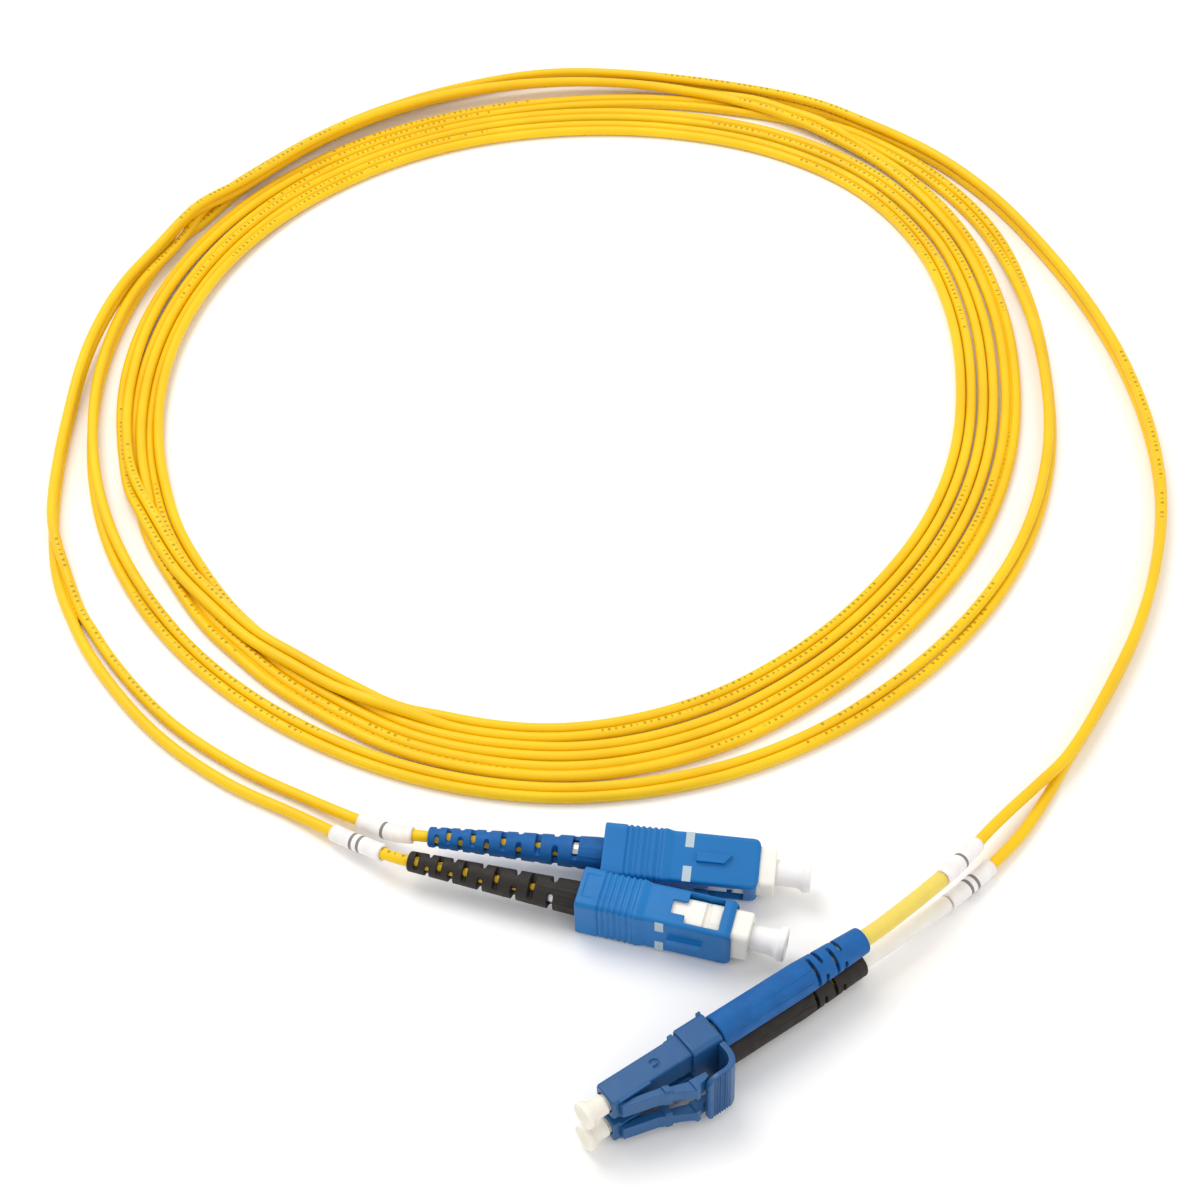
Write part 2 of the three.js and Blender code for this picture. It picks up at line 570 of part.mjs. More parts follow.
function scBoot() {
  const tip = SC_BOOT_TIP;
  const tipRadius = CORD_BORE + SC_BOOT_TIP_WALL;
  const front = SC_STOP_REAR - 2 * GAP;
  const sleeveRoom = SC_BARREL_RADIUS + CRIMP_WALL + 2 * GAP;
  const neckRoom = CORD_BORE + CRIMP_WALL + GAP;
  const sleeveRear = SC_JACKET_END + CRIMP_SHOULDER - GAP;
  const neckRear = SC_JACKET_END - CRIMP_NECK - GAP;
  const rounding = 0.15;
  let boot = turned([[tip, CORD_BORE], [tip, tipRadius - rounding], [tip + 2 * rounding, tipRadius],
    [-SC_LENGTH - 1, SC_BOOT_RADIUS], [front, SC_BOOT_RADIUS], [front, sleeveRoom], [sleeveRear, sleeveRoom],
    [sleeveRear - CRIMP_CONE, neckRoom], [neckRear, neckRoom], [neckRear, CORD_BORE], [tip, CORD_BORE]],
    INNER_SIDES);
  let x = tip;
  SC_SLOT_SPACINGS.forEach((spacing, i) => {
    x += spacing;
    const along = (x - tip) / SC_BOOT_LENGTH;
    const outer = THREE.MathUtils.lerp(tipRadius, SC_BOOT_RADIUS, along);
    const width = SC_SLOT_WIDTH * (0.75 + 0.35 * along);
    boot = cut(boot, slotPair(x, width, outer * SC_SLOT_CORE, (i % 2) * (Math.PI / 2)));
  });
  return boot;
}

function scDustCap() {
  const rear = SC_FRAME_FRONT - SC_CAP_DEPTH;
  const front = SC_FRAME_FRONT + SC_CAP_LENGTH;
  const flangeRear = front - SC_CAP_FLANGE_THICKNESS;
  const bore = SC_FERRULE_RADIUS + GAP;
  const boreEnd = SC_FERRULE_TIP + 0.8;
  const rounding = 0.2;
  return turned([[rear, bore], [rear, SC_CAP_BARREL_RADIUS - rounding],
    [rear + 3 * rounding, SC_CAP_BARREL_RADIUS], [flangeRear, SC_CAP_BARREL_RADIUS],
    [flangeRear, SC_CAP_FLANGE_RADIUS], [front - rounding, SC_CAP_FLANGE_RADIUS],
    [front, SC_CAP_FLANGE_RADIUS - rounding], [front, 0.9], [front - 2 * rounding, 0],
    [boreEnd, 0], [boreEnd, bore], [rear, bore]]);
}

// ---------------------------------------------------------------- LC plug

function lcBody() {
  const nose = bar(-LC_NOSE_LENGTH, 0, LC_NOSE, LC_NOSE, LC_EDGE_RADIUS, 1)
    .intersect(roundedNose(-LC_NOSE_LENGTH, 0, LC_NOSE, LC_EDGE_RADIUS, REACH));
  const rear = bar(-LC_LENGTH, -LC_NOSE_LENGTH, LC_BODY, LC_BODY, LC_EDGE_RADIUS, 1);
  const ridge = block(-LC_RIDGE_INSET - LC_RIDGE_LENGTH, -LC_RIDGE_INSET, -LC_BODY / 2 - LC_RIDGE_STEP, 0,
    -LC_NOSE / 2, LC_NOSE / 2);
  const mouth = rod(-LC_MOUTH_DEPTH, 1, LC_CHAMBER_RADIUS, INNER_SIDES);
  const guide = rod(LC_CHAMBER_FRONT - 1, 1, LC_FERRULE_RADIUS + GAP, INNER_SIDES);
  const chamber = rod(-LC_LENGTH - 1, LC_CHAMBER_FRONT, LC_CHAMBER_RADIUS, INNER_SIDES);
  return cut(join(nose, rear, ridge), mouth, guide, chamber);
}

// The latch lever springs out from the nose and back over the body.
function lcLever() {
  const fromRoot = ([x, y]) => [x, LEVER_ROOT + y];
  const arm = plate(outline(LEVER_SIDE.map(fromRoot)), -LEVER_WIDTH / 2, LEVER_WIDTH / 2);
  const shoulders = plate(outline(SHOULDER_SIDE.map(fromRoot)), -LEVER_SHOULDER / 2, LEVER_SHOULDER / 2);
  const shoulderRear = SHOULDER_SIDE[1][0];
  const waistRear = shoulderRear - 3.2;
  const waist = block(waistRear, shoulderRear, -REACH, REACH, -REACH, REACH)
    .subtract(block(waistRear - 1, shoulderRear + 1, -REACH, REACH, -LEVER_WAIST / 2, LEVER_WAIST / 2));
  return join(cut(arm, waist), shoulders);
}

function lcFerrule() {
  const rear = LC_FERRULE_TIP - LC_FERRULE_LENGTH;
  const chamfer = 0.2;
  return turned([[rear, 0], [rear, LC_FERRULE_RADIUS], [LC_FERRULE_TIP - chamfer, LC_FERRULE_RADIUS],
    [LC_FERRULE_TIP, LC_FERRULE_RADIUS - chamfer], [LC_FERRULE_TIP, 0]], INNER_SIDES);
}

const LC_FLANGE = {
  front: LC_CHAMBER_FRONT - GAP,
  length: LC_FLANGE_LENGTH,
  radius: LC_CHAMBER_RADIUS - GAP,
  stubLength: LC_STUB_LENGTH,
  stubRadius: LC_STUB_RADIUS,
  ferruleRadius: LC_FERRULE_RADIUS,
  ferruleRear: LC_FERRULE_TIP - LC_FERRULE_LENGTH,
};

function lcBoot() {
  const tip = LC_BOOT_TIP;
  const sleeveRoom = LC_BARREL_RADIUS + CRIMP_WALL + 2 * GAP;
  const clearRoom = CORD_BORE + CLEAR_SLEEVE_WALL + GAP;
  const tipRadius = clearRoom + LC_BOOT_TIP_WALL;
  const neckRear = LC_JACKET_END - CRIMP_NECK - GAP;
  const rounding = 0.2;
  let boot = turned([[tip, clearRoom], [tip, tipRadius - rounding], [tip + rounding, tipRadius],
    [LC_BOOT_TAPER, LC_BOOT_RADIUS], [LC_BOOT_FRONT, LC_BOOT_RADIUS], [LC_BOOT_FRONT, sleeveRoom],
    [neckRear, sleeveRoom], [neckRear - 2 * rounding, clearRoom], [tip, clearRoom]], INNER_SIDES);
  LC_SLOT_DISTANCES.forEach((distance, i) => {
    const angle = Math.PI / 4 + (i % 2) * (Math.PI / 2);
    boot = cut(boot, slotPair(tip + distance, LC_SLOT_WIDTH, LC_SLOT_CORE, angle));
  });
  return boot;
}

function lcDustCap() {
  const rear = -LC_CAP_DEPTH;
  const stem = LC_CHAMBER_RADIUS - GAP;
  const bore = LC_FERRULE_RADIUS + GAP;
  const boreEnd = LC_FERRULE_TIP + 0.7;
  const dish = LC_CAP_FLARE_RADIUS - LC_CAP_WALL;
  const rim = LC_CAP_LENGTH - 0.6;
  return turned([[rear, bore], [rear, stem], [GAP, stem], [GAP, LC_CAP_BARREL_RADIUS],
    [rim - 0.8, LC_CAP_BARREL_RADIUS], [rim, LC_CAP_FLARE_RADIUS], [LC_CAP_LENGTH, LC_CAP_FLARE_RADIUS],
    [LC_CAP_LENGTH, dish], [rim, dish - GAP], [rim, 0], [boreEnd, 0], [boreEnd, bore], [rear, bore]]);
}

// One clip holds both LC bodies; plug B is on the clip's own axis, plug A one pitch above it.
function duplexClip() {
  const shell = geometryOf(bar(CLIP_REAR, CLIP_FRONT, CLIP_WIDTH, CLIP_WIDTH + LC_PITCH, CLIP_RADIUS));
  shell.translate(0, 0, LC_PITCH / 2);
  let clip = solid(shell);
  for (const z of [0, LC_PITCH]) {
    const room = bar(CLIP_REAR - 1, CLIP_FRONT + 1, CLIP_POCKET, CLIP_POCKET, LC_EDGE_RADIUS, 1);
    const pocket = geometryOf(room);
    pocket.translate(0, 0, z);
    clip = cut(clip, solid(pocket));
  }
  return clip;
}

// The press tab: rises from the clip's rear, curls over the levers and carries grooves.
function duplexTrigger() {
  const foot = CLIP_WIDTH / 2 + GAP;
  const stem = foot + TRIGGER_STEM;
  const inside = LEVER_ROOT + LEVER_HEIGHT;
  const outside = inside + TRIGGER_THICKNESS;
  const innerRear = CLIP_REAR + TRIGGER_THICKNESS;
  const front = CLIP_REAR + TRIGGER_REACH;
  const curlEnd = CLIP_REAR + TRIGGER_CURL;
  const chamfer = 0.4;
  const shape = new THREE.Shape();
  shape.moveTo(CLIP_REAR, foot);
  shape.lineTo(CLIP_REAR, stem);
  shape.quadraticCurveTo(CLIP_REAR, outside, curlEnd, outside);
  shape.lineTo(front - chamfer, outside);
  shape.lineTo(front, outside - chamfer);
  shape.lineTo(front, inside);
  shape.lineTo(curlEnd, inside);
  shape.quadraticCurveTo(innerRear, inside, innerRear, stem);
  shape.lineTo(innerRear, foot);
  let trigger = plate(shape, -TRIGGER_MARGIN, LC_PITCH + TRIGGER_MARGIN, 8);
  const groovesRear = curlEnd - TRIGGER_THICKNESS;
  const pitch = (front - 2 * chamfer - groovesRear) / TRIGGER_GROOVES;
  for (let i = 0; i < TRIGGER_GROOVES; i += 1) {
    const x = groovesRear + i * pitch;
    const groove = block(x, x + TRIGGER_GROOVE_WIDTH, outside - TRIGGER_GROOVE_DEPTH, REACH, -REACH, REACH);
    trigger = cut(trigger, groove);
  }
  return trigger;
}

// ---------------------------------------------------------------- assembly

const patchCord = new THREE.Group();

function addPiece(parent, name, manifold, finish) {
  const mesh = new THREE.Mesh(geometryOf(manifold), finish);
  mesh.name = name;
  parent.add(mesh);
}

// Height of a rolled rounded bar's axis when its lowest edge lies on the floor.
function restingHeight(width, height, radius, roll) {
  const angle = THREE.MathUtils.degToRad(roll);
  return (width / 2 - radius) * Math.abs(Math.sin(angle))
    + (height / 2 - radius) * Math.abs(Math.cos(angle)) + radius;
}

function placedGroup({ x, y, yaw, roll }, height) {
  const group = new THREE.Group();
  group.rotation.order = 'ZYX';
  group.rotation.set(THREE.MathUtils.degToRad(roll), 0, THREE.MathUtils.degToRad(yaw));
  group.position.set(x - ORIGIN.x, y - ORIGIN.y, height);
  group.updateMatrix();
  patchCord.add(group);
  return group;
}

function addScPlug(letter, place, bootColor) {
  const collarWidth = SC_WIDTH + 2 * SC_COLLAR_STEP;
  const collarHeight = SC_HEIGHT + 2 * SC_COLLAR_STEP;
  const height = restingHeight(collarWidth, collarHeight, SC_COLLAR_RADIUS, place.roll);
  const plug = placedGroup(place, height);
  const name = `sc_${letter}_`;
  const spring = flangeSpring(SC_FLANGE, SC_STOP_FRONT, SC_CHAMBER_RADIUS, SC_SPRING_WIRE, SC_SPRING_TURNS);
  const stop = stopPiece({
    front: SC_STOP_FRONT,
    collar: SC_FRAME_REAR - GAP,
    collarRear: SC_STOP_REAR,
    collarRadius: SC_BOOT_RADIUS - GAP,
    chamberRadius: SC_CHAMBER_RADIUS,
    barrelRear: SC_BARREL_REAR,
    barrelRadius: SC_BARREL_RADIUS,
  });
  const crimp = crimpSleeve(SC_STOP_REAR - GAP, SC_BARREL_RADIUS, SC_JACKET_END);
  const fiber = bufferedFiber(SC_JACKET_END + SC_FLOAT, SC_FLANGE);
  addPiece(plug, `${name}grip_housing`, scGripHousing(), material(BLUE, 0.45));
  addPiece(plug, `${name}inner_frame`, scInnerFrame(), material(CREAM, 0.5));
  addPiece(plug, `${name}ferrule`, scFerrule(), material(ZIRCONIA, 0.15));
  addPiece(plug, `${name}ferrule_flange`, ferruleFlange(SC_FLANGE), material(METAL, 0.3, 1));
  addPiece(plug, `${name}spring`, spring, material(SPRING_STEEL, 0.3, 1));
  addPiece(plug, `${name}stop_ring`, stop, material(METAL, 0.35, 1));
  addPiece(plug, `${name}crimp_sleeve`, crimp, material(METAL, 0.3, 1));
  addPiece(plug, `${name}buffered_fiber`, fiber, material(YELLOW, 0.5));
  addPiece(plug, `${name}boot`, scBoot(), material(bootColor, 0.6));
  addPiece(plug, `${name}dust_cap`, scDustCap(), material(CAP_NATURAL, 0.35));
  return plug;
}

function addLcPlug(letter, parent, bootColor) {
  const name = `lc_${letter}_`;
  const spring = flangeSpring(LC_FLANGE, LC_STOP_FRONT, LC_CHAMBER_RADIUS, LC_SPRING_WIRE, LC_SPRING_TURNS);
  const rearBody = stopPiece({
    front: LC_STOP_FRONT,
    collar: -LC_LENGTH - GAP,
    collarRear: LC_STOP_REAR,
    collarRadius: LC_STOP_RADIUS,
    chamberRadius: LC_CHAMBER_RADIUS,
    barrelRear: LC_BARREL_REAR,
    barrelRadius: LC_BARREL_RADIUS,
  });
  const crimp = crimpSleeve(LC_STOP_REAR - GAP, LC_BARREL_RADIUS, LC_JACKET_END);
  const fiber = bufferedFiber(LC_JACKET_END + LC_FLOAT, LC_FLANGE);
  addPiece(parent, `${name}body`, lcBody(), material(LC_BLUE, 0.45));
  addPiece(parent, `${name}latch_lever`, lcLever(), material(LC_BLUE, 0.45));
  addPiece(parent, `${name}ferrule`, lcFerrule(), material(ZIRCONIA, 0.15));
  addPiece(parent, `${name}ferrule_flange`, ferruleFlange(LC_FLANGE), material(METAL, 0.3, 1));
  addPiece(parent, `${name}spring`, spring, material(SPRING_STEEL, 0.3, 1));
  addPiece(parent, `${name}rear_body`, rearBody, material(METAL, 0.35, 1));
  addPiece(parent, `${name}crimp_sleeve`, crimp, material(METAL, 0.3, 1));
  addPiece(parent, `${name}buffered_fiber`, fiber, material(YELLOW, 0.5));
  addPiece(parent, `${name}boot`, lcBoot(), material(bootColor, 0.6));
  addPiece(parent, `${name}dust_cap`, lcDustCap(), material(CREAM, 0.4));
}

const scPlugA = addScPlug('a', SC_A_PLACE, BOOT_BLUE);
const scPlugB = addScPlug('b', SC_B_PLACE, BLACK);

const lcPair = placedGroup(LC_PLACE, restingHeight(CLIP_WIDTH, CLIP_WIDTH, CLIP_RADIUS, LC_PLACE.roll));
const lcPlugA = new THREE.Group();
const lcPlugB = new THREE.Group();
lcPlugA.position.z = LC_PITCH;
lcPair.add(lcPlugA, lcPlugB);
lcPlugA.updateMatrix();
addLcPlug('a', lcPlugA, BOOT_BLUE);
addLcPlug('b', lcPlugB, BLACK);
addPiece(lcPair, 'lc_duplex_clip', duplexClip(), material(LC_BLUE, 0.45));
addPiece(lcPair, 'lc_trigger', duplexTrigger(), material(LC_BLUE, 0.45));

// ---------------------------------------------------------------- free cord

// A point of the route, whose third number is the height of the strand's underside.
function planPoint([x, y, underside]) {
  return new THREE.Vector3(x - ORIGIN.x, y - ORIGIN.y, underside + STRAND_RADIUS);
}

function onAxis(groups, x) {
  const point = new THREE.Vector3(x, 0, 0);
  for (const group of groups) {
    point.applyMatrix4(group.matrix);
  }
  return point;
}

// Points along a boot's axis, from the jacket's end to a little past the tip.
function axisRun(groups, jacketEnd, tip) {
  const inBoot = [0, 0.3, 0.65, 1].map((share) => THREE.MathUtils.lerp(jacketEnd, tip, share));
  return [...inBoot, tip - AXIS_RUN].map((x) => onAxis(groups, x));
}

function smooth(points) {
  return new THREE.CatmullRomCurve3(points, false, 'centripetal');
}

// The part of a curve between two lengths from its start.
function stretch(curve, from, to) {
  const whole = curve.getLength();
  const points = [];
  for (let i = 0; i <= SLEEVE_STEPS; i += 1) {
    const along = THREE.MathUtils.lerp(from, to, i / SLEEVE_STEPS);
    points.push(curve.getPointAt(along / whole));
  }
  return smooth(points);
}

function addStrand(name, curve) {
  const steps = Math.min(MOST_STEPS, Math.ceil(curve.getLength() / TUBE_STEP));
  addPiece(patchCord, name, tube(curve, STRAND_RADIUS, steps), material(YELLOW, 0.45));
}

function addSleeve(name, curve, from, to, wall, finish) {
  const path = stretch(curve, from, to);
  const sleeve = tube(path, CORD_BORE + wall, SLEEVE_STEPS, SLEEVE_SIDES, CORD_BORE);
  addPiece(patchCord, name, sleeve, finish);
}

function addLcTail(letter, groups, leg, underside) {
  const pair = LC_TAIL.map(([x, y]) => [x, y, underside]);
  const points = [...axisRun(groups, LC_JACKET_END, LC_BOOT_TIP), ...[...leg, ...pair].map(planPoint)];
  const curve = smooth(points);
  const clearStart = LC_JACKET_END - LC_BOOT_TIP - CLEAR_SLEEVE_DEPTH;
  const clearEnd = clearStart + CLEAR_SLEEVE_LENGTH;
  const labelStart = clearEnd + GAP;
  addStrand(`lc_tail_${letter}`, curve);
  addSleeve(`lc_${letter}_clear_sleeve`, curve, clearStart, clearEnd, CLEAR_SLEEVE_WALL,
    material(CLEAR_YELLOW, 0.25));
  addSleeve(`lc_${letter}_label_sleeve`, curve, labelStart, labelStart + LABEL_LENGTH, LABEL_WALL,
    material(LABEL_WHITE, 0.5));
}

function addScTail(letter, plug, leg, lift) {
  const pair = SC_TAIL.map(([x, y, underside]) => [x, y, underside + lift]);
  const inBoot = axisRun([plug], SC_JACKET_END, SC_BOOT_TIP).reverse();
  const curve = smooth([...[...pair, ...leg].map(planPoint), ...inBoot]);
  const labelEnd = curve.getLength() - (SC_JACKET_END - SC_BOOT_TIP) - SC_LABEL_DISTANCE;
  addStrand(`sc_tail_${letter}`, curve);
  addSleeve(`sc_${letter}_label_sleeve`, curve, labelEnd - LABEL_LENGTH, labelEnd, LABEL_WALL,
    material(LABEL_WHITE, 0.5));
}

addLcTail('a', [lcPlugA, lcPair], LC_LEG_A, FLOOR_GAP + STRAND_PITCH);
addLcTail('b', [lcPlugB, lcPair], LC_LEG_B, FLOOR_GAP);
addScTail('a', scPlugA, SC_LEG_A, STRAND_PITCH);
addScTail('b', scPlugB, SC_LEG_B, 0);

// The ring is turned between a circle of radius 1 and one of radius 2, which are then drawn
// out to the coil's inner and outer ovals.
function coilRing() {
  const corner = COIL_HEIGHT / 4;
  const rows = [[0, corner], [0, COIL_HEIGHT - corner], [COIL_CORNER, COIL_HEIGHT],
    [1 - COIL_CORNER, COIL_HEIGHT], [1, COIL_HEIGHT - corner], [1, corner], [1 - COIL_CORNER, 0],
    [COIL_CORNER, 0], [0, corner]];
  const profile = rows.map(([across, z]) => new THREE.Vector2(1 + across, COIL_BASE + z));
  const ring = new THREE.LatheGeometry(profile, COIL_SIDES);
  ring.rotateX(Math.PI / 2);
  const position = ring.getAttribute('position');
  for (let i = 0; i < position.count; i += 1) {
    const angle = Math.atan2(position.getY(i), position.getX(i));
    const across = Math.hypot(position.getX(i), position.getY(i)) - 1;
    const radii = COIL_INNER.map((inner, n) => THREE.MathUtils.lerp(inner, COIL_OUTER[n], across));
    position.setX(i, radii[0] * Math.cos(angle) + COIL_MIDDLE[0] - ORIGIN.x);
    position.setY(i, radii[1] * Math.sin(angle) + COIL_MIDDLE[1] - ORIGIN.y);
  }
  return solid(ring);
}

addPiece(patchCord, 'cord_coil', coilRing(), material(YELLOW, 0.45));

export default patchCord;
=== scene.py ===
# Duplex fibre optic patch cord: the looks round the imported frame. Metres, +Z up.
import itertools
import json
import math

import bmesh
import bpy
import numpy as np
from mathutils import Matrix, Vector

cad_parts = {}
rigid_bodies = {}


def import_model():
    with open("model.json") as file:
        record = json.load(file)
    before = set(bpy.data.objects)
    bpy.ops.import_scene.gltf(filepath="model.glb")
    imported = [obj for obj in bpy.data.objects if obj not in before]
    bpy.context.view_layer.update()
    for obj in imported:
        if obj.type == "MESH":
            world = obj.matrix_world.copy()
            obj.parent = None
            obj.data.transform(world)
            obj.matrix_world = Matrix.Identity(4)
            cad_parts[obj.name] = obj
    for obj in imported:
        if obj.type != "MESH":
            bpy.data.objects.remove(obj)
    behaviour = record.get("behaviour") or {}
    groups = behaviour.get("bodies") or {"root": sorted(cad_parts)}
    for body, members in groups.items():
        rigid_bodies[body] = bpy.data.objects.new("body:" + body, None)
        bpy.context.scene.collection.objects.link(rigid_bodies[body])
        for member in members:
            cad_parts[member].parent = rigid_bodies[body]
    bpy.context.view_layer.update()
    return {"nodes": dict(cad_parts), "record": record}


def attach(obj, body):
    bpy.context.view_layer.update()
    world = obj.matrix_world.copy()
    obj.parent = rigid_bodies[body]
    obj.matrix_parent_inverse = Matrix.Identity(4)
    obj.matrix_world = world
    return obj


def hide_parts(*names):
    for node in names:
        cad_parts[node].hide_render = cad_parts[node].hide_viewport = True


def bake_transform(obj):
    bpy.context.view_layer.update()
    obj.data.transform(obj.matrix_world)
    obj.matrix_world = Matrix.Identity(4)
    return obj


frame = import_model()

MM = 0.001
UP = Vector((0, 0, 1))

# --- camera and light

PLAN_ORIGIN = Vector((0.0056, 0.2146, 0))  # the part's origin in the plan that the route uses
CAMERA_HEIGHT = 0.33504
CAMERA_DOWN = 48.0  # degrees below level
FOCAL_LENGTH = 71.94  # millimetres, on a sensor this wide
SENSOR = 36.0
WORLD_STRENGTH = 0.86
LIGHT_AIM = (0, 0.1, 0)


def add_camera():
    data = bpy.data.cameras.new("camera")
    data.lens = FOCAL_LENGTH
    data.sensor_width = SENSOR
    data.clip_start = 0.01
    camera = bpy.data.objects.new("camera", data)
    camera.location = Vector((0, 0, CAMERA_HEIGHT)) - PLAN_ORIGIN
    camera.rotation_euler = (math.radians(90 - CAMERA_DOWN), 0, 0)
    bpy.context.scene.collection.objects.link(camera)
    bpy.context.scene.camera = camera


def add_area_light(name, place, size, power):
    data = bpy.data.lights.new(name, "AREA")
    data.shape = "DISK"
    data.size = size
    data.energy = power
    light = bpy.data.objects.new(name, data)
    light.location = place
    light.rotation_euler = (Vector(LIGHT_AIM) - Vector(place)).to_track_quat("-Z", "Y").to_euler()
    bpy.context.scene.collection.objects.link(light)


def add_world():
    world = bpy.data.worlds.new("studio")
    world.use_nodes = True
    background = world.node_tree.nodes["Background"]
    background.inputs["Color"].default_value = (1.0, 1.0, 1.0, 1.0)
    background.inputs["Strength"].default_value = WORLD_STRENGTH
    bpy.context.scene.world = world


add_camera()
add_world()
add_area_light("key", (-0.25, 0.35, 0.7), size=0.5, power=2.4)
add_area_light("fill", (0.5, -0.3, 0.5), size=0.6, power=0.6)
bpy.context.scene.view_settings.view_transform = "Standard"

# --- materials

NOISE_RANGE = (0.3, 0.7)  # where most of a noise texture's values lie


class Finish:
    """A procedural material: a Principled shader and the nodes that feed it."""

    def __init__(self, name, **uniform):
        self.material = bpy.data.materials.new(name)
        self.material.use_nodes = True
        self.tree = self.material.node_tree
        self.shader = self.tree.nodes["Principled BSDF"]
        for socket, value in uniform.items():
            self.shader.inputs[socket.replace("_", " ")].default_value = value

    def node(self, kind, **inputs):
        made = self.tree.nodes.new(kind)
        for socket, value in inputs.items():
            made.inputs[socket.replace("_", " ")].default_value = value
        return made

    def link(self, source, target):
        self.tree.links.new(source, target)

    def feed(self, sockets, values):
        """Links or sets each socket, whichever its value needs."""
        for socket, value in zip(sockets, values):
            if isinstance(value, bpy.types.NodeSocket):
                self.link(value, socket)
            else:
                socket.default_value = value

    def noise(self, scale, detail=3.0, roughness=0.5):
        made = self.node("ShaderNodeTexNoise", Scale=scale, Detail=detail, Roughness=roughness)
        place = self.node("ShaderNodeTexCoord")
        self.link(place.outputs["Object"], made.inputs["Vector"])
        return made.outputs["Fac"]

    def remap(self, value, low, high, out_low, out_high):
        """The value's stretch from low to high, spread from out_low to out_high."""
        made = self.node("ShaderNodeMapRange", From_Min=low, From_Max=high, To_Min=out_low, To_Max=out_high)
        self.link(value, made.inputs["Value"])
        return made.outputs["Result"]

    def mix(self, factor, first, second):
        made = self.tree.nodes.new("ShaderNodeMix")
        made.data_type = "RGBA"
        self.link(factor, made.inputs["Factor"])
        slots = [s for s in made.inputs if s.type == "RGBA"]
        self.feed(slots, (first, second))
        return [s for s in made.outputs if s.type == "RGBA"][0]

    def math(self, operation, *values):
        made = self.tree.nodes.new("ShaderNodeMath")
        made.operation = operation
        self.feed(made.inputs, values)
        return made.outputs["Value"]

    def along(self, axis="X"):
        """The length along a tube, or with Y the turn round it."""
        place = self.node("ShaderNodeTexCoord")
        split = self.node("ShaderNodeSeparateXYZ")
        self.link(place.outputs["UV"], split.inputs["Vector"])
        return split.outputs[axis]

    def bump(self, height, strength, distance):
        made = self.node("ShaderNodeBump", Strength=strength, Distance=distance)
        self.link(height, made.inputs["Height"])
        self.link(made.outputs["Normal"], self.shader.inputs["Normal"])

    def paint(self, color):
        self.link(color, self.shader.inputs["Base Color"])

    def drift(self, noise, first, second):
        """A colour that wanders between two."""
        return self.mix(self.remap(noise, *NOISE_RANGE, 0, 1), first, second)

    def gloss(self, noise, low, high):
        """A roughness that wanders from low to high."""
        self.link(self.remap(noise, *NOISE_RANGE, low, high), self.shader.inputs["Roughness"])


def linear(red, green, blue):
    """A colour given as screen values 0 to 255, as the shader wants it."""

    def channel(value):
        share = value / 255
        return share / 12.92 if share <= 0.04045 else ((share + 0.055) / 1.055) ** 2.4

    return (channel(red), channel(green), channel(blue), 1.0)


def shade(color, factor):
    """A lighter or darker version of a shader colour."""
    return tuple(min(1.0, c * factor) for c in color[:3]) + (1.0,)


def moulded(name, color, roughness, wear=1.25, **uniform):
    """Moulded plastic: a fine spark-eroded grain, soft flow marks and lighter rubbed edges."""
    finish = Finish(name, **uniform)
    flow = finish.noise(90.0, 2.0)
    tint = finish.drift(flow, shade(color, 0.93), shade(color, 1.06))
    geometry = finish.node("ShaderNodeNewGeometry")
    edge = finish.remap(geometry.outputs["Pointiness"], 0.52, 0.62, 0, 0.45)
    finish.paint(finish.mix(edge, tint, shade(color, wear)))
    fine = finish.noise(5200.0, 2.0, 0.6)
    finish.gloss(finish.noise(420.0), roughness - 0.05, roughness + 0.07)
    finish.bump(fine, 0.06, 0.00005)
    return finish.material


def soft_rubber(name, color):
    """Boot rubber: matt, slightly mottled and finely pitted."""
    finish = Finish(name, Specular_IOR_Level=0.35)
    mottle = finish.noise(260.0, 4.0, 0.6)
    finish.paint(finish.drift(mottle, shade(color, 0.88), shade(color, 1.12)))
    finish.gloss(finish.noise(700.0), 0.5, 0.68)
    finish.bump(finish.noise(3600.0, 3.0, 0.65), 0.16, 0.00006)
    return finish.material


def translucent(name, color, roughness, transmission, scatter):
    """Natural plastic that light gets into."""
    finish = Finish(
        name, Transmission_Weight=transmission, IOR=1.45,
        Subsurface_Weight=scatter, Subsurface_Scale=0.001, Subsurface_Radius=(1.0, 0.9, 0.8),
    )
    cloud = finish.noise(500.0, 3.0)
    finish.paint(finish.drift(cloud, shade(color, 0.96), shade(color, 1.03)))
    finish.gloss(finish.noise(900.0), roughness - 0.06, roughness + 0.06)
    finish.bump(finish.noise(2600.0, 2.0), 0.05, 0.00005)
    return finish.material


def bare_metal(name, color, roughness, stretch=1.0):
    finish = Finish(name, Metallic=1.0)
    brushed = finish.noise(1500.0 * stretch, 2.0)
    finish.paint(finish.drift(brushed, shade(color, 0.88), shade(color, 1.08)))
    finish.gloss(brushed, roughness - 0.08, roughness + 0.1)
    finish.bump(finish.noise(4000.0, 2.0), 0.08, 0.00003)
    return finish.material


def ceramic(name):
    color = linear(246, 244, 238)
    finish = Finish(name, Subsurface_Weight=0.2, Subsurface_Scale=0.0004)
    finish.paint(finish.mix(finish.noise(800.0), shade(color, 0.97), color))
    finish.gloss(finish.noise(1200.0), 0.08, 0.16)
    return finish.material


TICKS_PER_METRE = 760.0
TICK_SHARE = 0.42
GROUPS_PER_METRE = 7.0
GROUP_SHARE = 0.34
TICK_ROW = (0.27, 0.05)  # the row's middle and half width, in turns round the cord


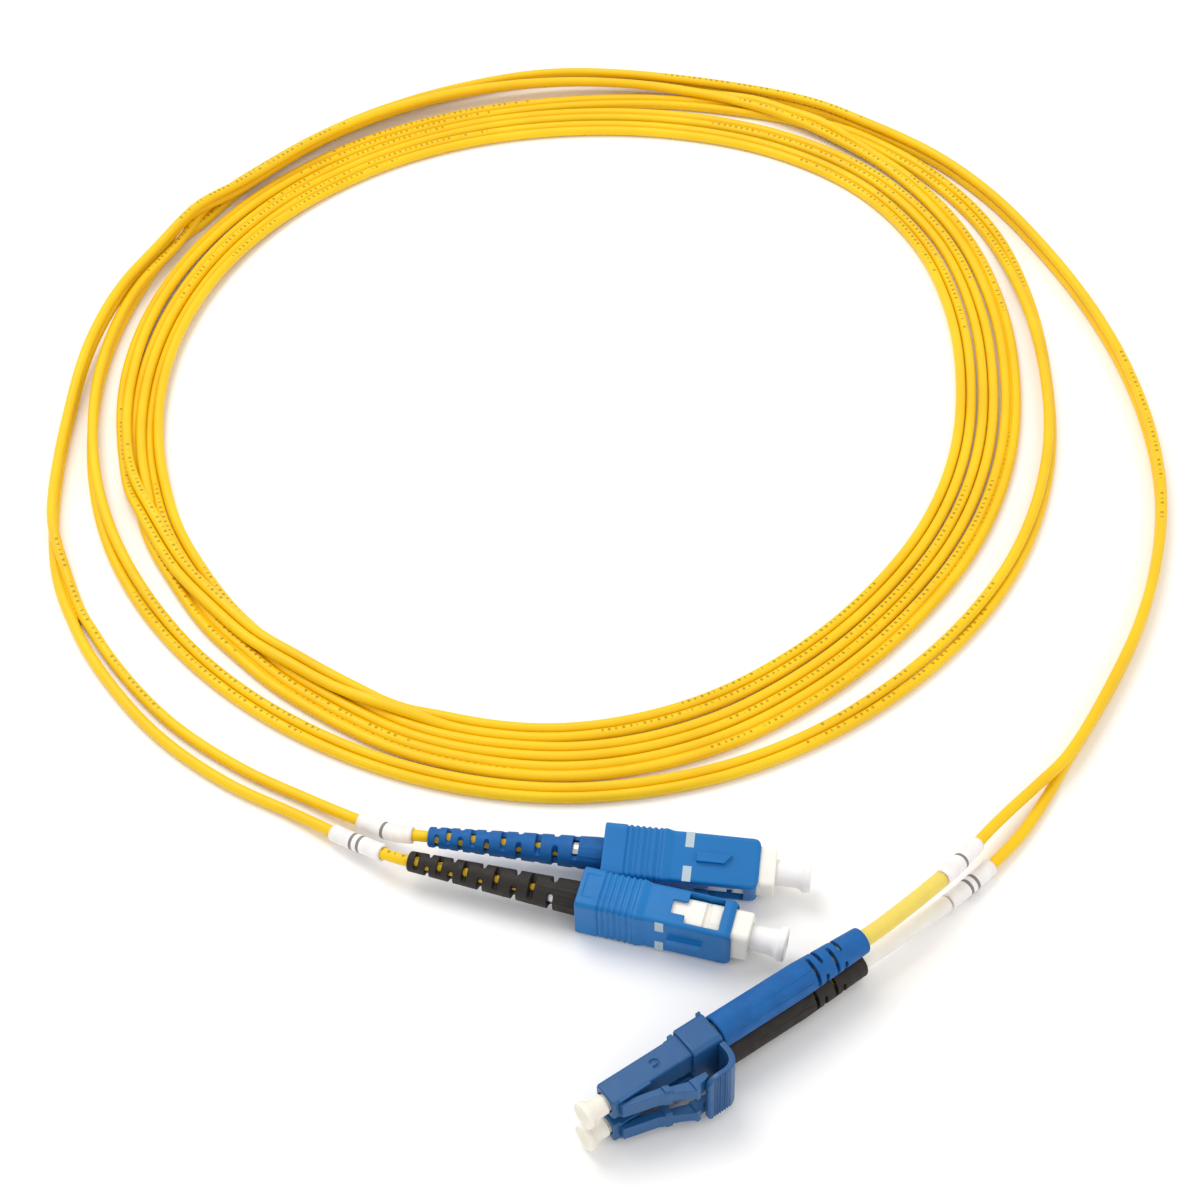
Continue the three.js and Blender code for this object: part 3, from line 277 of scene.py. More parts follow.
def jacket(name):
    """Cord jacket: satin yellow, faint drawing lines along it, and a sparse row of tick marks."""
    finish = Finish(name, Specular_IOR_Level=0.35)
    tint = finish.drift(finish.noise(60.0, 3.0), linear(238, 190, 1), linear(247, 203, 6))
    along = finish.along("X")
    around = finish.along("Y")
    ticks = finish.math("FRACT", finish.math("MULTIPLY", along, TICKS_PER_METRE))
    groups = finish.math("FRACT", finish.math("MULTIPLY", along, GROUPS_PER_METRE))
    tick = finish.math("LESS_THAN", ticks, TICK_SHARE)
    group = finish.math("LESS_THAN", groups, GROUP_SHARE)
    row = finish.math("COMPARE", around, *TICK_ROW)
    stretched = finish.node("ShaderNodeCombineXYZ")
    finish.link(finish.math("MULTIPLY", along, 900.0), stretched.inputs["X"])
    uneven = finish.node("ShaderNodeTexNoise", Scale=1.0, Detail=1.0)
    finish.link(stretched.outputs["Vector"], uneven.inputs["Vector"])
    printed = finish.math("GREATER_THAN", uneven.outputs["Fac"], 0.47)
    ink = finish.math("MULTIPLY", finish.math("MULTIPLY", tick, group), finish.math("MULTIPLY", row, printed))
    finish.paint(finish.mix(finish.math("MULTIPLY", ink, 0.6), tint, linear(110, 84, 20)))
    drawn = finish.node("ShaderNodeCombineXYZ")
    finish.link(finish.math("MULTIPLY", along, 40.0), drawn.inputs["X"])
    finish.link(finish.math("MULTIPLY", around, 26.0), drawn.inputs["Y"])
    lines = finish.node("ShaderNodeTexNoise", Scale=1.0, Detail=2.0)
    finish.link(drawn.outputs["Vector"], lines.inputs["Vector"])
    finish.gloss(finish.noise(300.0), 0.34, 0.48)
    finish.bump(lines.outputs["Fac"], 0.12, 0.0001)
    return finish.material


def frosted_sleeve(name, color, transmission):
    finish = Finish(name, Transmission_Weight=transmission, IOR=1.3,
                    Subsurface_Weight=0.2, Subsurface_Scale=0.0008)
    finish.paint(finish.drift(finish.noise(300.0), shade(color, 0.94), color))
    finish.gloss(finish.noise(900.0, 3.0), 0.28, 0.45)
    finish.bump(finish.noise(1500.0, 3.0), 0.1, 0.0001)
    return finish.material


RING_HALF_WIDTH = 0.00032


def label_stock(name, rings):
    """White marker sleeve with generic thin rings printed round it, placed along its length."""
    finish = Finish(name, Subsurface_Weight=0.1, Subsurface_Scale=0.0006)
    tint = finish.drift(finish.noise(400.0, 4.0), linear(236, 229, 225), linear(248, 244, 241))
    along = finish.along()
    for place in rings:
        ring = finish.math("COMPARE", along, place, RING_HALF_WIDTH)
        tint = finish.mix(finish.math("MULTIPLY", ring, 0.8), tint, linear(60, 58, 58))
    finish.paint(tint)
    finish.gloss(finish.noise(800.0), 0.38, 0.54)
    finish.bump(finish.noise(1100.0, 4.0), 0.18, 0.0001)
    return finish.material


def floor_material():
    finish = Finish("studio_floor")
    finish.paint(finish.mix(finish.noise(8.0), linear(253, 252, 251), linear(255, 254, 253)))
    return finish.material


SC_BLUE = moulded("sc_blue", linear(4, 110, 178), 0.4, Specular_IOR_Level=0.35)
FRAME_CREAM = moulded("frame_cream", linear(245, 241, 231), 0.45, wear=1.02, Subsurface_Weight=0.15,
                      Subsurface_Scale=0.0008)
LC_BLUE = moulded("lc_blue", linear(26, 84, 136), 0.36, wear=1.3, Specular_IOR_Level=0.4)
RUBBER = {
    "a": soft_rubber("boot_blue", linear(0, 90, 158)),
    "b": soft_rubber("boot_black", linear(36, 30, 26)),
}
CERAMIC = ceramic("ferrule_ceramic")
PLATED = bare_metal("plated_metal", linear(200, 202, 204), 0.3)
SPRING_WIRE = bare_metal("spring_wire", linear(178, 180, 184), 0.28, 2.0)
BUFFER = moulded("fiber_buffer", linear(246, 214, 92), 0.4)
JACKET = jacket("cord_jacket")
LABEL = {"a": label_stock("label_one_ring", (0.0055,)), "b": label_stock("label_two_rings", (0.0047, 0.0063))}
SLEEVE = {"a": frosted_sleeve("clear_sleeve_yellow", linear(255, 226, 108), 0.15),
          "b": frosted_sleeve("clear_sleeve_white", linear(254, 246, 240), 0.1)}
CAP_NATURAL = translucent("cap_natural", linear(254, 249, 246), 0.35, 0.05, 0.4)
CAP_CREAM = translucent("cap_cream", linear(246, 240, 226), 0.4, 0.06, 0.3)
MARK = moulded("mark_grey", linear(180, 196, 204), 0.5, wear=1.0)

# --- plug frames

MOUNTS = {mount["name"]: mount for mount in frame["record"]["mounts"]}
# Where each plug's face mount lies in its own coordinates, and the plug's turn about its axis.
SC_FACE_POINT = (2.65, 3.1, 0.0)
LC_FACE_POINT = {"a": (0.0, 1.75, 1.75), "b": (0.0, 1.75, -1.75)}
ROLL = {"sc_a": 18.0, "sc_b": 93.8, "lc_a": 2.5, "lc_b": 2.5}


def plug_place(plug, face_point):
    """Plug coordinates in millimetres, x forward from its nose, to the row frame in metres."""
    mount = MOUNTS[f"{plug}_plug_face"]
    forward = Vector(mount["axis"]).normalized()
    level = UP.cross(forward).normalized()
    roll = math.radians(ROLL[plug])
    side = level * math.cos(roll) + UP * math.sin(roll)
    turn = Matrix((forward, side, forward.cross(side))).transposed()
    origin = Vector(mount["pos_m"]) - turn @ (Vector(face_point) * MM)
    return Matrix.Translation(origin) @ turn.to_4x4() @ Matrix.Scale(MM, 4)


PLACE = {
    "sc_a": plug_place("sc_a", SC_FACE_POINT),
    "sc_b": plug_place("sc_b", SC_FACE_POINT),
    "lc_a": plug_place("lc_a", LC_FACE_POINT["a"]),
    "lc_b": plug_place("lc_b", LC_FACE_POINT["b"]),
}


# --- mesh tools


def mesh_object(name, verts, faces):
    mesh = bpy.data.meshes.new(name)
    mesh.from_pydata([tuple(v) for v in verts], [], faces)
    made = bpy.data.objects.new(name, mesh)
    bpy.context.scene.collection.objects.link(made)
    return made


def outward(made):
    """Turns every face of a closed mesh outward."""
    work = bmesh.new()
    work.from_mesh(made.data)
    bmesh.ops.remove_doubles(work, verts=work.verts, dist=1e-5)
    bmesh.ops.recalc_face_normals(work, faces=work.faces)
    if work.calc_volume(signed=True) < 0:
        bmesh.ops.reverse_faces(work, faces=work.faces)
    work.to_mesh(made.data)
    work.free()
    return made


def quads(*corners):
    return np.stack(corners, axis=-1).reshape(-1, 4).tolist()


def rings_mesh(name, rings, capped):
    """A surface through rings of equally many points, closed at its ends or onto itself."""
    verts = [point for ring in rings for point in ring]
    here = np.arange(len(verts)).reshape(len(rings), -1)
    turned = np.roll(here, -1, axis=1)
    after = np.roll(here, -1, axis=0)
    after_turned = np.roll(turned, -1, axis=0)
    last = len(rings) - 1 if capped else len(rings)
    faces = quads(here[:last], turned[:last], after_turned[:last], after[:last])
    if capped:
        faces += [here[0].tolist(), here[-1].tolist()]
    return outward(mesh_object(name, verts, faces))


def lathe(name, profile, sides=56):
    """A solid turned about x from [x, radius] corners that close on themselves or on the axis."""
    points = [(x, max(radius, 0.0)) for x, radius in profile]
    solid = points[0][1] == 0
    rings = []
    for x, radius in points:
        ring = []
        for k in range(sides):
            angle = 2 * math.pi * k / sides
            ring.append((x, radius * math.cos(angle), radius * math.sin(angle)))
        rings.append(ring)
    return rings_mesh(name, rings, capped=solid)


def section(width, height, radius, steps=6):
    """Corners of a rounded rectangle in y and z."""
    points = []
    for quarter in range(4):
        middle_y = (width / 2 - radius) * (1 if quarter in (0, 3) else -1)
        middle_z = (height / 2 - radius) * (1 if quarter in (0, 1) else -1)
        for i in range(steps + 1):
            angle = math.pi / 2 * (quarter + i / steps)
            points.append((middle_y + radius * math.cos(angle), middle_z + radius * math.sin(angle)))
    return points


def loft(name, stations):
    """A solid through rounded rectangles at (x, width, height, radius)."""
    rings = [[(x, y, z) for y, z in section(w, h, r)] for x, w, h, r in stations]
    return rings_mesh(name, rings, capped=True)


def bar(name, x0, x1, width, height, radius):
    return loft(name, [(x0, width, height, radius), (x1, width, height, radius)])


def slab(name, low, high):
    (x0, y0, z0), (x1, y1, z1) = low, high
    return rings_mesh(name, [
        [(x0, y0, z0), (x0, y1, z0), (x0, y1, z1), (x0, y0, z1)],
        [(x1, y0, z0), (x1, y1, z0), (x1, y1, z1), (x1, y0, z1)],
    ], capped=True)


def slab_pair(name, low, high, axis):
    """A block between two corners and its mirror image across one axis."""
    pair = []
    for side in (1, -1):
        corners = np.array((low, high), float)
        corners[:, axis] = sorted(corners[:, axis] * side)
        pair.append(slab(name, *corners.tolist()))
    return pair


def prism(name, outline, low, high):
    """A solid drawn out along z from an outline in x and y."""
    rings = [[(x, y, z) for x, y in outline] for z in (low, high)]
    return rings_mesh(name, rings, capped=True)


def quadratic(start, middle, end, steps=10):
    """Points of a curve from start to end, pulled towards middle."""
    points = []
    for k in range(steps + 1):
        t = k / steps
        near, mid, far = (1 - t) ** 2, 2 * t * (1 - t), t * t
        points.append(tuple(near * a + mid * b + far * c for a, b, c in zip(start, middle, end)))
    return points


def evaluated(made):
    """Applies an object's modifiers to its mesh."""
    graph = bpy.context.evaluated_depsgraph_get()
    mesh = bpy.data.meshes.new_from_object(made.evaluated_get(graph))
    made.modifiers.clear()
    old = made.data
    made.data = mesh
    bpy.data.meshes.remove(old)
    return made


def combine(target, operation, *tools):
    """Joins or cuts with closed tools, which are used up."""
    for tool in tools:
        modifier = target.modifiers.new("combine", "BOOLEAN")
        modifier.operation = operation
        modifier.solver = "EXACT"
        modifier.object = tool
        evaluated(target)
        bpy.data.objects.remove(tool)
    return target


def cut(target, *tools):
    return combine(target, "DIFFERENCE", *tools)


def join(target, *tools):
    return combine(target, "UNION", *tools)


def smooth_shade(made):
    for face in made.data.polygons:
        face.use_smooth = True
    return made


FLAT_ANGLE = 2.5  # faces this close to one plane are merged
NORMAL_WEIGHT = 90


def soften(made, voxel, rounds=3):
    """Rounds every edge as a mould does: a fine even mesh, relaxed, then thinned on its flats."""
    remesh = made.modifiers.new("even", "REMESH")
    remesh.mode = "VOXEL"
    remesh.voxel_size = voxel
    relax = made.modifiers.new("relax", "SMOOTH")
    relax.factor = 0.5
    relax.iterations = rounds
    thin = made.modifiers.new("thin", "DECIMATE")
    thin.decimate_type = "DISSOLVE"
    thin.angle_limit = math.radians(FLAT_ANGLE)
    smooth_shade(evaluated(made))
    weigh = made.modifiers.new("weigh", "WEIGHTED_NORMAL")
    weigh.weight = NORMAL_WEIGHT
    return evaluated(made)


def dress(piece, material, body, slot, *nodes):
    """Gives a piece its material and the body it rides, and hides the CAD nodes it stands for; the slot is
    not used.
    """
    piece.data.materials.append(material)
    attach(piece, body)
    if nodes:
        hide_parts(*nodes)
    return piece


def finished(made, name, place, material, body, slot, *nodes):
    """Puts a copy of a plug-coordinate mesh in its place as a piece of the object."""
    piece = bpy.data.objects.new(name, made.data.copy())
    piece.data.transform(place)
    piece.data.materials.clear()
    bpy.context.scene.collection.objects.link(piece)
    dress(piece, material, body, slot, *nodes)


# --- cord route

STRAND_RADIUS = 0.001
STRAND_PITCH = 0.0021
FLOOR_GAP = 0.00005
BOOT_RUN = {"sc": (-30.2, -56.5), "lc": (-30.0, -51.3)}  # jacket's end and boot's tip on a plug's axis
AXIS_RUN = 2.5  # a strand stays on its plug's axis this far past the boot's tip
AXIS_SHARES = (0, 0.3, 0.65, 1)

# The free stretches: x, y and the height of the strand's underside.
LC_LEG_A = [
    (0.0504, 0.2260, 0.0077), (0.0574, 0.2333, 0.0060), (0.0618, 0.2386, 0.0047),
    (0.0660, 0.2442, 0.0035), (0.0704, 0.2494, 0.0026), (0.0758, 0.2550, 0.0023),
]
LC_LEG_B = [
    (0.0508, 0.2252, 0.0018), (0.0584, 0.2316, 0.0010), (0.0630, 0.2358, 0.00075),
    (0.0674, 0.2403, 0.00065), (0.0725, 0.2462, 0.0003), (0.0773, 0.2534, 0.0001),
]
LC_TAIL = [
    (0.0823, 0.2620), (0.0923, 0.2786), (0.1002, 0.2945), (0.1062, 0.3123), (0.1092, 0.3283),
    (0.1096, 0.3448), (0.1073, 0.3644), (0.1023, 0.3835), (0.0950, 0.4018), (0.0860, 0.4190),
    (0.0745, 0.4335), (0.0600, 0.4450), (0.0460, 0.4536),
]
SC_TAIL = [
    (-0.1059, 0.3600, 0.00305), (-0.1066, 0.3470, 0.0014), (-0.1064, 0.3320, 0.0002),
    (-0.1050, 0.3180, 0.0001),
]
SC_LEG_A = [
    (-0.1016, 0.3082, 0.0017), (-0.0982, 0.3008, 0.0009), (-0.0903, 0.2871, 0.00015),
    (-0.0775, 0.2717, 0.0001), (-0.0634, 0.2608, 0.0001), (-0.0505, 0.2536, 0.0003),
    (-0.0446, 0.2502, 0.0009), (-0.0396, 0.2473, 0.0017), (-0.0349, 0.2444, 0.0030),
]
SC_LEG_B = [
    (-0.1031, 0.3090, 0.0001), (-0.1003, 0.3000, 0.0001), (-0.0924, 0.2851, 0.0001),
    (-0.0794, 0.2687, 0.0001), (-0.0658, 0.2577, 0.0001), (-0.0538, 0.2510, 0.0003),
    (-0.0492, 0.2482, 0.0008), (-0.0438, 0.2446, 0.0016), (-0.0392, 0.2416, 0.0028),
]

# The coil, counted from the LC end and wound the way angles grow. At every eighth of a turn:
# the radius of the bundle's inner edge, and for each turn how far outside that edge the pair
# runs, how far it is lifted over others, and how far it leans from flat towards upright.
COIL_MIDDLE = (-0.0060, 0.3610)
INNER_EDGE = {0: 78.5, 45: 87.0, 90: 82.0, 135: 81.0, 180: 82.0, 225: 86.0, 270: 90.0, 315: 80.0}
COIL_START = 90
COIL_STEP = 45
TURNS = [
    # (outside, lift, lean) for 90, 135, 180, 225, 270, 315, 360 and 405 degrees
    [(22, 0, 70), (15.5, 0, 85), (14, 0, 90), (15, 0, 45), (15.7, 0, 20), (20.5, 0, 60),
     (18.5, 0, 75), (17, 0, 25)],
    [(11.8, 0, 30), (10, 0, 50), (8.3, 0, 60), (5, 2.4, 30), (2.2, 0, 15), (2.2, 0, 15),
     (2.2, 0, 15), (2.4, 0, 20)],
    [(2.3, 0, 30), (2, 0, 45), (1.7, 0, 60), (3.5, 0, 30), (6.6, 0, 10), (6.6, 0, 15),
     (6.7, 0, 20), (7.3, 0, 25)],
    [(7, 0, 30), (5.8, 0, 45), (5, 0, 60), (7.5, 0, 30), (11, 0, 10), (11, 0, 15),
     (11.3, 0, 20), (12.5, 1.7, 20)],
    [(17, 3.4, 40), (12.8, 4.4, 70)],
]
# The last turn climbs over the first and leaves it: the pair's x, y and height, and its lean.
COIL_END = [(-0.0870, 0.4115, 0.0046), (-0.0980, 0.3920, 0.0060), (-0.1033, 0.3750, 0.0064)]
COIL_END_LEAN = (80, 85, 90)
ROUTE_STEP = 0.0025

# How the strands settle.
SETTLE_ROUNDS = 240
CONTACT_ROUNDS = 15  # between two searches for contacts
FREE_FROM = 0.085  # lengths from the LC end and the SC end that the plugs hold
FREE_TO = 0.11
FREE_RAMP = 0.03  # over this length a strand comes free
SPACING = 2 * STRAND_RADIUS + 0.00002
CONTACT_REACH = 0.004
OWN_REACH = 0.012  # a strand doesn't push its own points within this length
CROWDING = 0.8  # how far a push is shared out where several touch
PAIR_PULL = 0.3
PAIR_LIMIT = 1.25  # strands closer than this many pitches are a pair
SINK = 0.000008
STRAIGHTEN = 0.35
RETURN = 0.015  # pull back to the drawn route, across the floor only
LONGEST_MOVE = 0.0004


def spline(points, steps=12):
    """Centripetal Catmull-Rom curve through points, with this many steps from one to the next."""
    pts = np.array(points, float)
    first = 2 * pts[0] - pts[1]
    last = 2 * pts[-1] - pts[-2]
    pts = np.vstack([first, pts, last])
    gaps = np.sqrt(np.linalg.norm(np.diff(pts, axis=0), axis=1))
    knots = np.concatenate([[0], np.cumsum(np.maximum(gaps, 1e-6))])
    out = []
    for i in range(1, len(pts) - 2):
        t0, t1, t2, t3 = knots[i - 1:i + 3]
        p0, p1, p2, p3 = pts[i - 1:i + 3]
        for t in np.linspace(t1, t2, steps, endpoint=False):
            a1 = (t1 - t) / (t1 - t0) * p0 + (t - t0) / (t1 - t0) * p1
            a2 = (t2 - t) / (t2 - t1) * p1 + (t - t1) / (t2 - t1) * p2
            a3 = (t3 - t) / (t3 - t2) * p2 + (t - t2) / (t3 - t2) * p3
            b1 = (t2 - t) / (t2 - t0) * a1 + (t - t0) / (t2 - t0) * a2
            b2 = (t3 - t) / (t3 - t1) * a2 + (t - t1) / (t3 - t1) * a3
            out.append((t2 - t) / (t2 - t1) * b1 + (t - t1) / (t2 - t1) * b2)
    out.append(pts[-2])
    return np.array(out)


def run_of(points):
    """Each point's distance along the path."""
    return np.concatenate([[0], np.cumsum(np.linalg.norm(np.diff(points, axis=0), axis=1))])


def points_at(path, at):
    """The points of a path at these distances along it."""
    run = run_of(path)
    return np.stack([np.interp(at, run, path[:, k]) for k in range(3)], axis=1)


def coil_pairs():
    """The pair's middle (x, y, z) and lean through the coil's turns, every 15 degrees."""
    rows = []
    angle = COIL_START
    for turn in TURNS:
        for outside, lift, lean in turn:
            radius = (INNER_EDGE[angle % 360] + outside) * MM
            rows.append((angle, radius, lift * MM, lean))
            angle += COIL_STEP
    # degrees count as millimetres here, so that no column outweighs the others
    scale = [MM, 1, 1, MM]
    fine = []
    for degrees, radius, lift, lean in spline(np.array(rows, float) * scale, steps=3) / scale:
        turn = math.radians(degrees)
        x = COIL_MIDDLE[0] + radius * math.cos(turn)
        y = COIL_MIDDLE[1] + radius * math.sin(turn)
        upright = math.sin(math.radians(lean))
        z = STRAND_RADIUS + FLOOR_GAP + STRAND_PITCH / 2 * upright + max(lift, 0.0)
        fine.append((x, y, z, lean))
    return fine


def pair_route():
    """The zipped pair from the LC split to the SC split: x, y, z of its middle and its lean."""
    stand = STRAND_RADIUS + FLOOR_GAP + STRAND_PITCH / 2
    rows = [(x, y, stand, 90) for x, y in LC_TAIL]
    rows += coil_pairs()
    rows += [(*place, lean) for place, lean in zip(COIL_END, COIL_END_LEAN)]
    rows += [(x, y, z + STRAND_RADIUS + STRAND_PITCH / 2, 90) for x, y, z in SC_TAIL]
    return np.array(rows, float)


def strands_of(pairs):
    """Both strands' points from the pair's middle and lean; A is to the left or on top."""
    ahead = np.gradient(pairs[:, :2], axis=0)
    ahead /= np.linalg.norm(ahead, axis=1)[:, None]
    left = np.stack([-ahead[:, 1], ahead[:, 0]], axis=1)
    lean = np.radians(pairs[:, 3])
    offset = np.concatenate([left * np.cos(lean)[:, None], np.sin(lean)[:, None]], axis=1)
    offset = offset * STRAND_PITCH / 2
    return pairs[:, :3] + offset, pairs[:, :3] - offset


def on_axis(plug, x):
    """The point x millimetres along a plug's axis, in the row frame."""
    return np.array(PLACE[plug] @ Vector((x, 0, 0)))


def axis_run(plug, end, tip):
    """Points down a boot's middle, from the jacket's end to just past the boot's tip."""
    places = [end + (tip - end) * share for share in AXIS_SHARES] + [tip - AXIS_RUN]
    return [on_axis(plug, x) for x in places]


def leg(points):
    """A strand's own stretch, from the plan to the row frame."""
    return [np.array((x, y, z + STRAND_RADIUS)) - np.array(PLAN_ORIGIN) for x, y, z in points]


def whole_strand(letter, pair_points):
    """One strand from the LC jacket's end to the SC jacket's end, before it settles."""
    legs = {"a": (LC_LEG_A, SC_LEG_A), "b": (LC_LEG_B, SC_LEG_B)}[letter]
    start = axis_run(f"lc_{letter}", *BOOT_RUN["lc"]) + leg(legs[0])
    end = leg(legs[1]) + axis_run(f"sc_{letter}", *BOOT_RUN["sc"])[::-1]
    pair = [p - np.array(PLAN_ORIGIN) for p in pair_points]
    return spline(np.array(start + pair + end))


def nearest(points, others):
    """For each point, the index of the closest of the others and its distance."""
    apart = np.linalg.norm(others[None] - points[:, None], axis=2)
    return apart.argmin(axis=1), apart.min(axis=1)


def close_pairs(points, strand):
    """Index pairs of points that may touch, leaving out neighbours along one strand."""
    cells = {}
    for i, key in enumerate(map(tuple, np.floor(points / CONTACT_REACH).astype(int))):
        cells.setdefault(key, []).append(i)
    firsts, seconds = [], []
    for (x, y, z), members in cells.items():
        around = []
        for dx, dy, dz in itertools.product((-1, 0, 1), repeat=3):
            around += cells.get((x + dx, y + dy, z + dz), [])
        around = np.array(around)
        for i in members:
            rows = around[around > i]
            rows = rows[(strand[rows] != strand[i]) | ((rows - i) * ROUTE_STEP > OWN_REACH)]
            rows = rows[np.linalg.norm(points[rows] - points[i], axis=1) < CONTACT_REACH]
            firsts.append(np.full(len(rows), i))
            seconds.append(rows)
    return np.concatenate(firsts), np.concatenate(seconds)


def across(points, tangent, i, j):
    """The way from points i to points j square to the strand, its length, and how far along they are."""
    apart = points[j] - points[i]
    along = np.einsum("ij,ij->i", apart, tangent[i])
    side = apart - along[:, None] * tangent[i]
    return side, np.linalg.norm(side, axis=1), np.abs(along)


def settle(strands):
    """Lets the strands push each other apart and sink onto the floor and one another."""
    count = len(strands[0])
    points = np.vstack(strands)
    start = points.copy()
    strand = np.repeat((0, 1), count)
    run = np.concatenate([run_of(path) for path in strands])
    left = np.repeat([run[count - 1], run[-1]], count) - run
    free = np.clip((run - FREE_FROM) / FREE_RAMP, 0, 1) * np.clip((left - FREE_TO) / FREE_RAMP, 0, 1)
    partner, gap = nearest(strands[0], strands[1])
    zipped = np.where(gap < STRAND_PITCH * PAIR_LIMIT)[0]
    mates = (zipped, partner[zipped] + count)
    lowest = STRAND_RADIUS + FLOOR_GAP
    weight = np.ones(len(points))
    np.add.at(weight, mates[1], 1)
    for step in range(SETTLE_ROUNDS):
        if step % CONTACT_ROUNDS == 0:
            first, second = close_pairs(points, strand)
        tangent = np.vstack([np.gradient(points[:count], axis=0), np.gradient(points[count:], axis=0)])
        tangent /= np.linalg.norm(tangent, axis=1)[:, None]
        move = np.zeros_like(points)
        touching = np.ones(len(points))
        side, distance, along = across(points, tangent, first, second)
        hit = (along < ROUTE_STEP) & (distance < SPACING)
        push = ((SPACING - distance[hit]) / np.maximum(distance[hit], 1e-6))[:, None] * side[hit] * 0.5
        np.add.at(move, second[hit], push)
        np.add.at(move, first[hit], -push)
        np.add.at(touching, second[hit], 1)
        np.add.at(touching, first[hit], 1)
        move /= touching[:, None] ** CROWDING
        side, distance, _ = across(points, tangent, *mates)
        pull = ((distance - STRAND_PITCH) / np.maximum(distance, 1e-6))[:, None] * side * PAIR_PULL
        np.add.at(move, mates[0], pull)
        np.add.at(move, mates[1], -pull / weight[mates[1]][:, None])
        move[:, 2] -= SINK
        for rows in (slice(0, count), slice(count, None)):
            line = points[rows]
            bend = np.zeros_like(line)
            bend[2:-2] = (4 * (line[1:-3] + line[3:-1]) - line[:-4] - line[4:]) / 6 - line[2:-2]
            move[rows] += bend * STRAIGHTEN
        move += (start - points) * (RETURN, RETURN, 0.0)
        size = np.linalg.norm(move, axis=1)
        move *= np.minimum(1, LONGEST_MOVE / np.maximum(size, 1e-9))[:, None]
        points = points + move * free[:, None]
        points[:, 2] = np.maximum(points[:, 2], lowest)
    return points[:count], points[count:]


def tube(name, path, radius, sides=16, inner=0.0):
    """A tube with closed ends along a path, with its length and its turn round as UVs."""
    path = np.array(path, float)
    tangent = np.gradient(path, axis=0)
    tangent /= np.linalg.norm(tangent, axis=1)[:, None]
    side = np.cross(tangent, (0, 0, 1.0))
    side /= np.maximum(np.linalg.norm(side, axis=1)[:, None], 1e-6)
    rise = np.cross(side, tangent)
    lengths = run_of(path)
    angles = 2 * math.pi * np.arange(sides) / sides

    def shell(size):
        across = side[:, None, :] * np.cos(angles)[None, :, None] * size
        upward = rise[:, None, :] * np.sin(angles)[None, :, None] * size
        return (path[:, None, :] + across + upward).reshape(-1, 3)

    verts = shell(radius)
    rows = len(path)
    ring = np.arange(rows * sides).reshape(rows, sides)
    turned = np.roll(ring, -1, axis=1)
    faces = quads(ring[:-1], ring[1:], turned[1:], turned[:-1])
    if inner > 0:
        verts = np.vstack([verts, shell(inner)])
        bore, bore_turned = ring + ring.size, turned + ring.size
        faces += quads(bore[:-1], bore_turned[:-1], bore_turned[1:], bore[1:])
        faces += quads(ring[0], turned[0], bore_turned[0], bore[0])
        faces += quads(turned[-1], ring[-1], bore[-1], bore_turned[-1])
    else:
        faces += [ring[0].tolist(), ring[-1].tolist()[::-1]]
    made = mesh_object(name, verts, faces)
    uv = made.data.uv_layers.new(name="along")
    for face in made.data.polygons:
        places = {v % sides for v in face.vertices}
        wraps = 0 in places and sides - 1 in places
        for corner, v in zip(face.loop_indices, face.vertices):
            turn = (v % sides) / sides
            if wraps and v % sides == 0:
                turn = 1.0
            uv.data[corner].uv = (lengths[(v // sides) % rows], turn)
    return smooth_shade(made)


raw = [whole_strand(letter, points) for letter, points in zip("ab", strands_of(pair_route()))]
raw_lengths = [run_of(path)[-1] for path in raw]
point_count = int(round(sum(raw_lengths) / 2 / ROUTE_STEP)) + 1
even = [points_at(path, np.linspace(0, length, point_count)) for path, length in zip(raw, raw_lengths)]
strand_path = dict(zip("ab", settle(even)))

for letter, path in strand_path.items():
    piece = tube(f"strand_{letter}", path, STRAND_RADIUS)
    nodes = [f"lc_tail_{letter}", f"sc_tail_{letter}"] + (["cord_coil"] if letter == "a" else [])
    dress(piece, JACKET, "root", "cord_yellow", *nodes)

# --- SC plugs

SC_REAR = -26.5
SC_WIDTH = 9.0
SC_HEIGHT = 7.4
SC_WALL = 0.55
COLLAR_STEP = 0.25
RIDGES_REAR = -22.6
RIDGES_FRONT = -16.5
RIDGE_COUNT = 6
RIDGE_DEPTH = 0.25
RAMP_FRONT = -14.6
NOSE_RADIUS = 1.4
NOSE_SIDE_RADIUS = 0.8
FRAME_FRONT = 2.65
FRAME_REAR = -17.5
FRAME_WIDTH = 7.4
FRAME_HEIGHT = 5.8
CHAMBER_RADIUS = 2.5
KEY_HEIGHT = 0.75


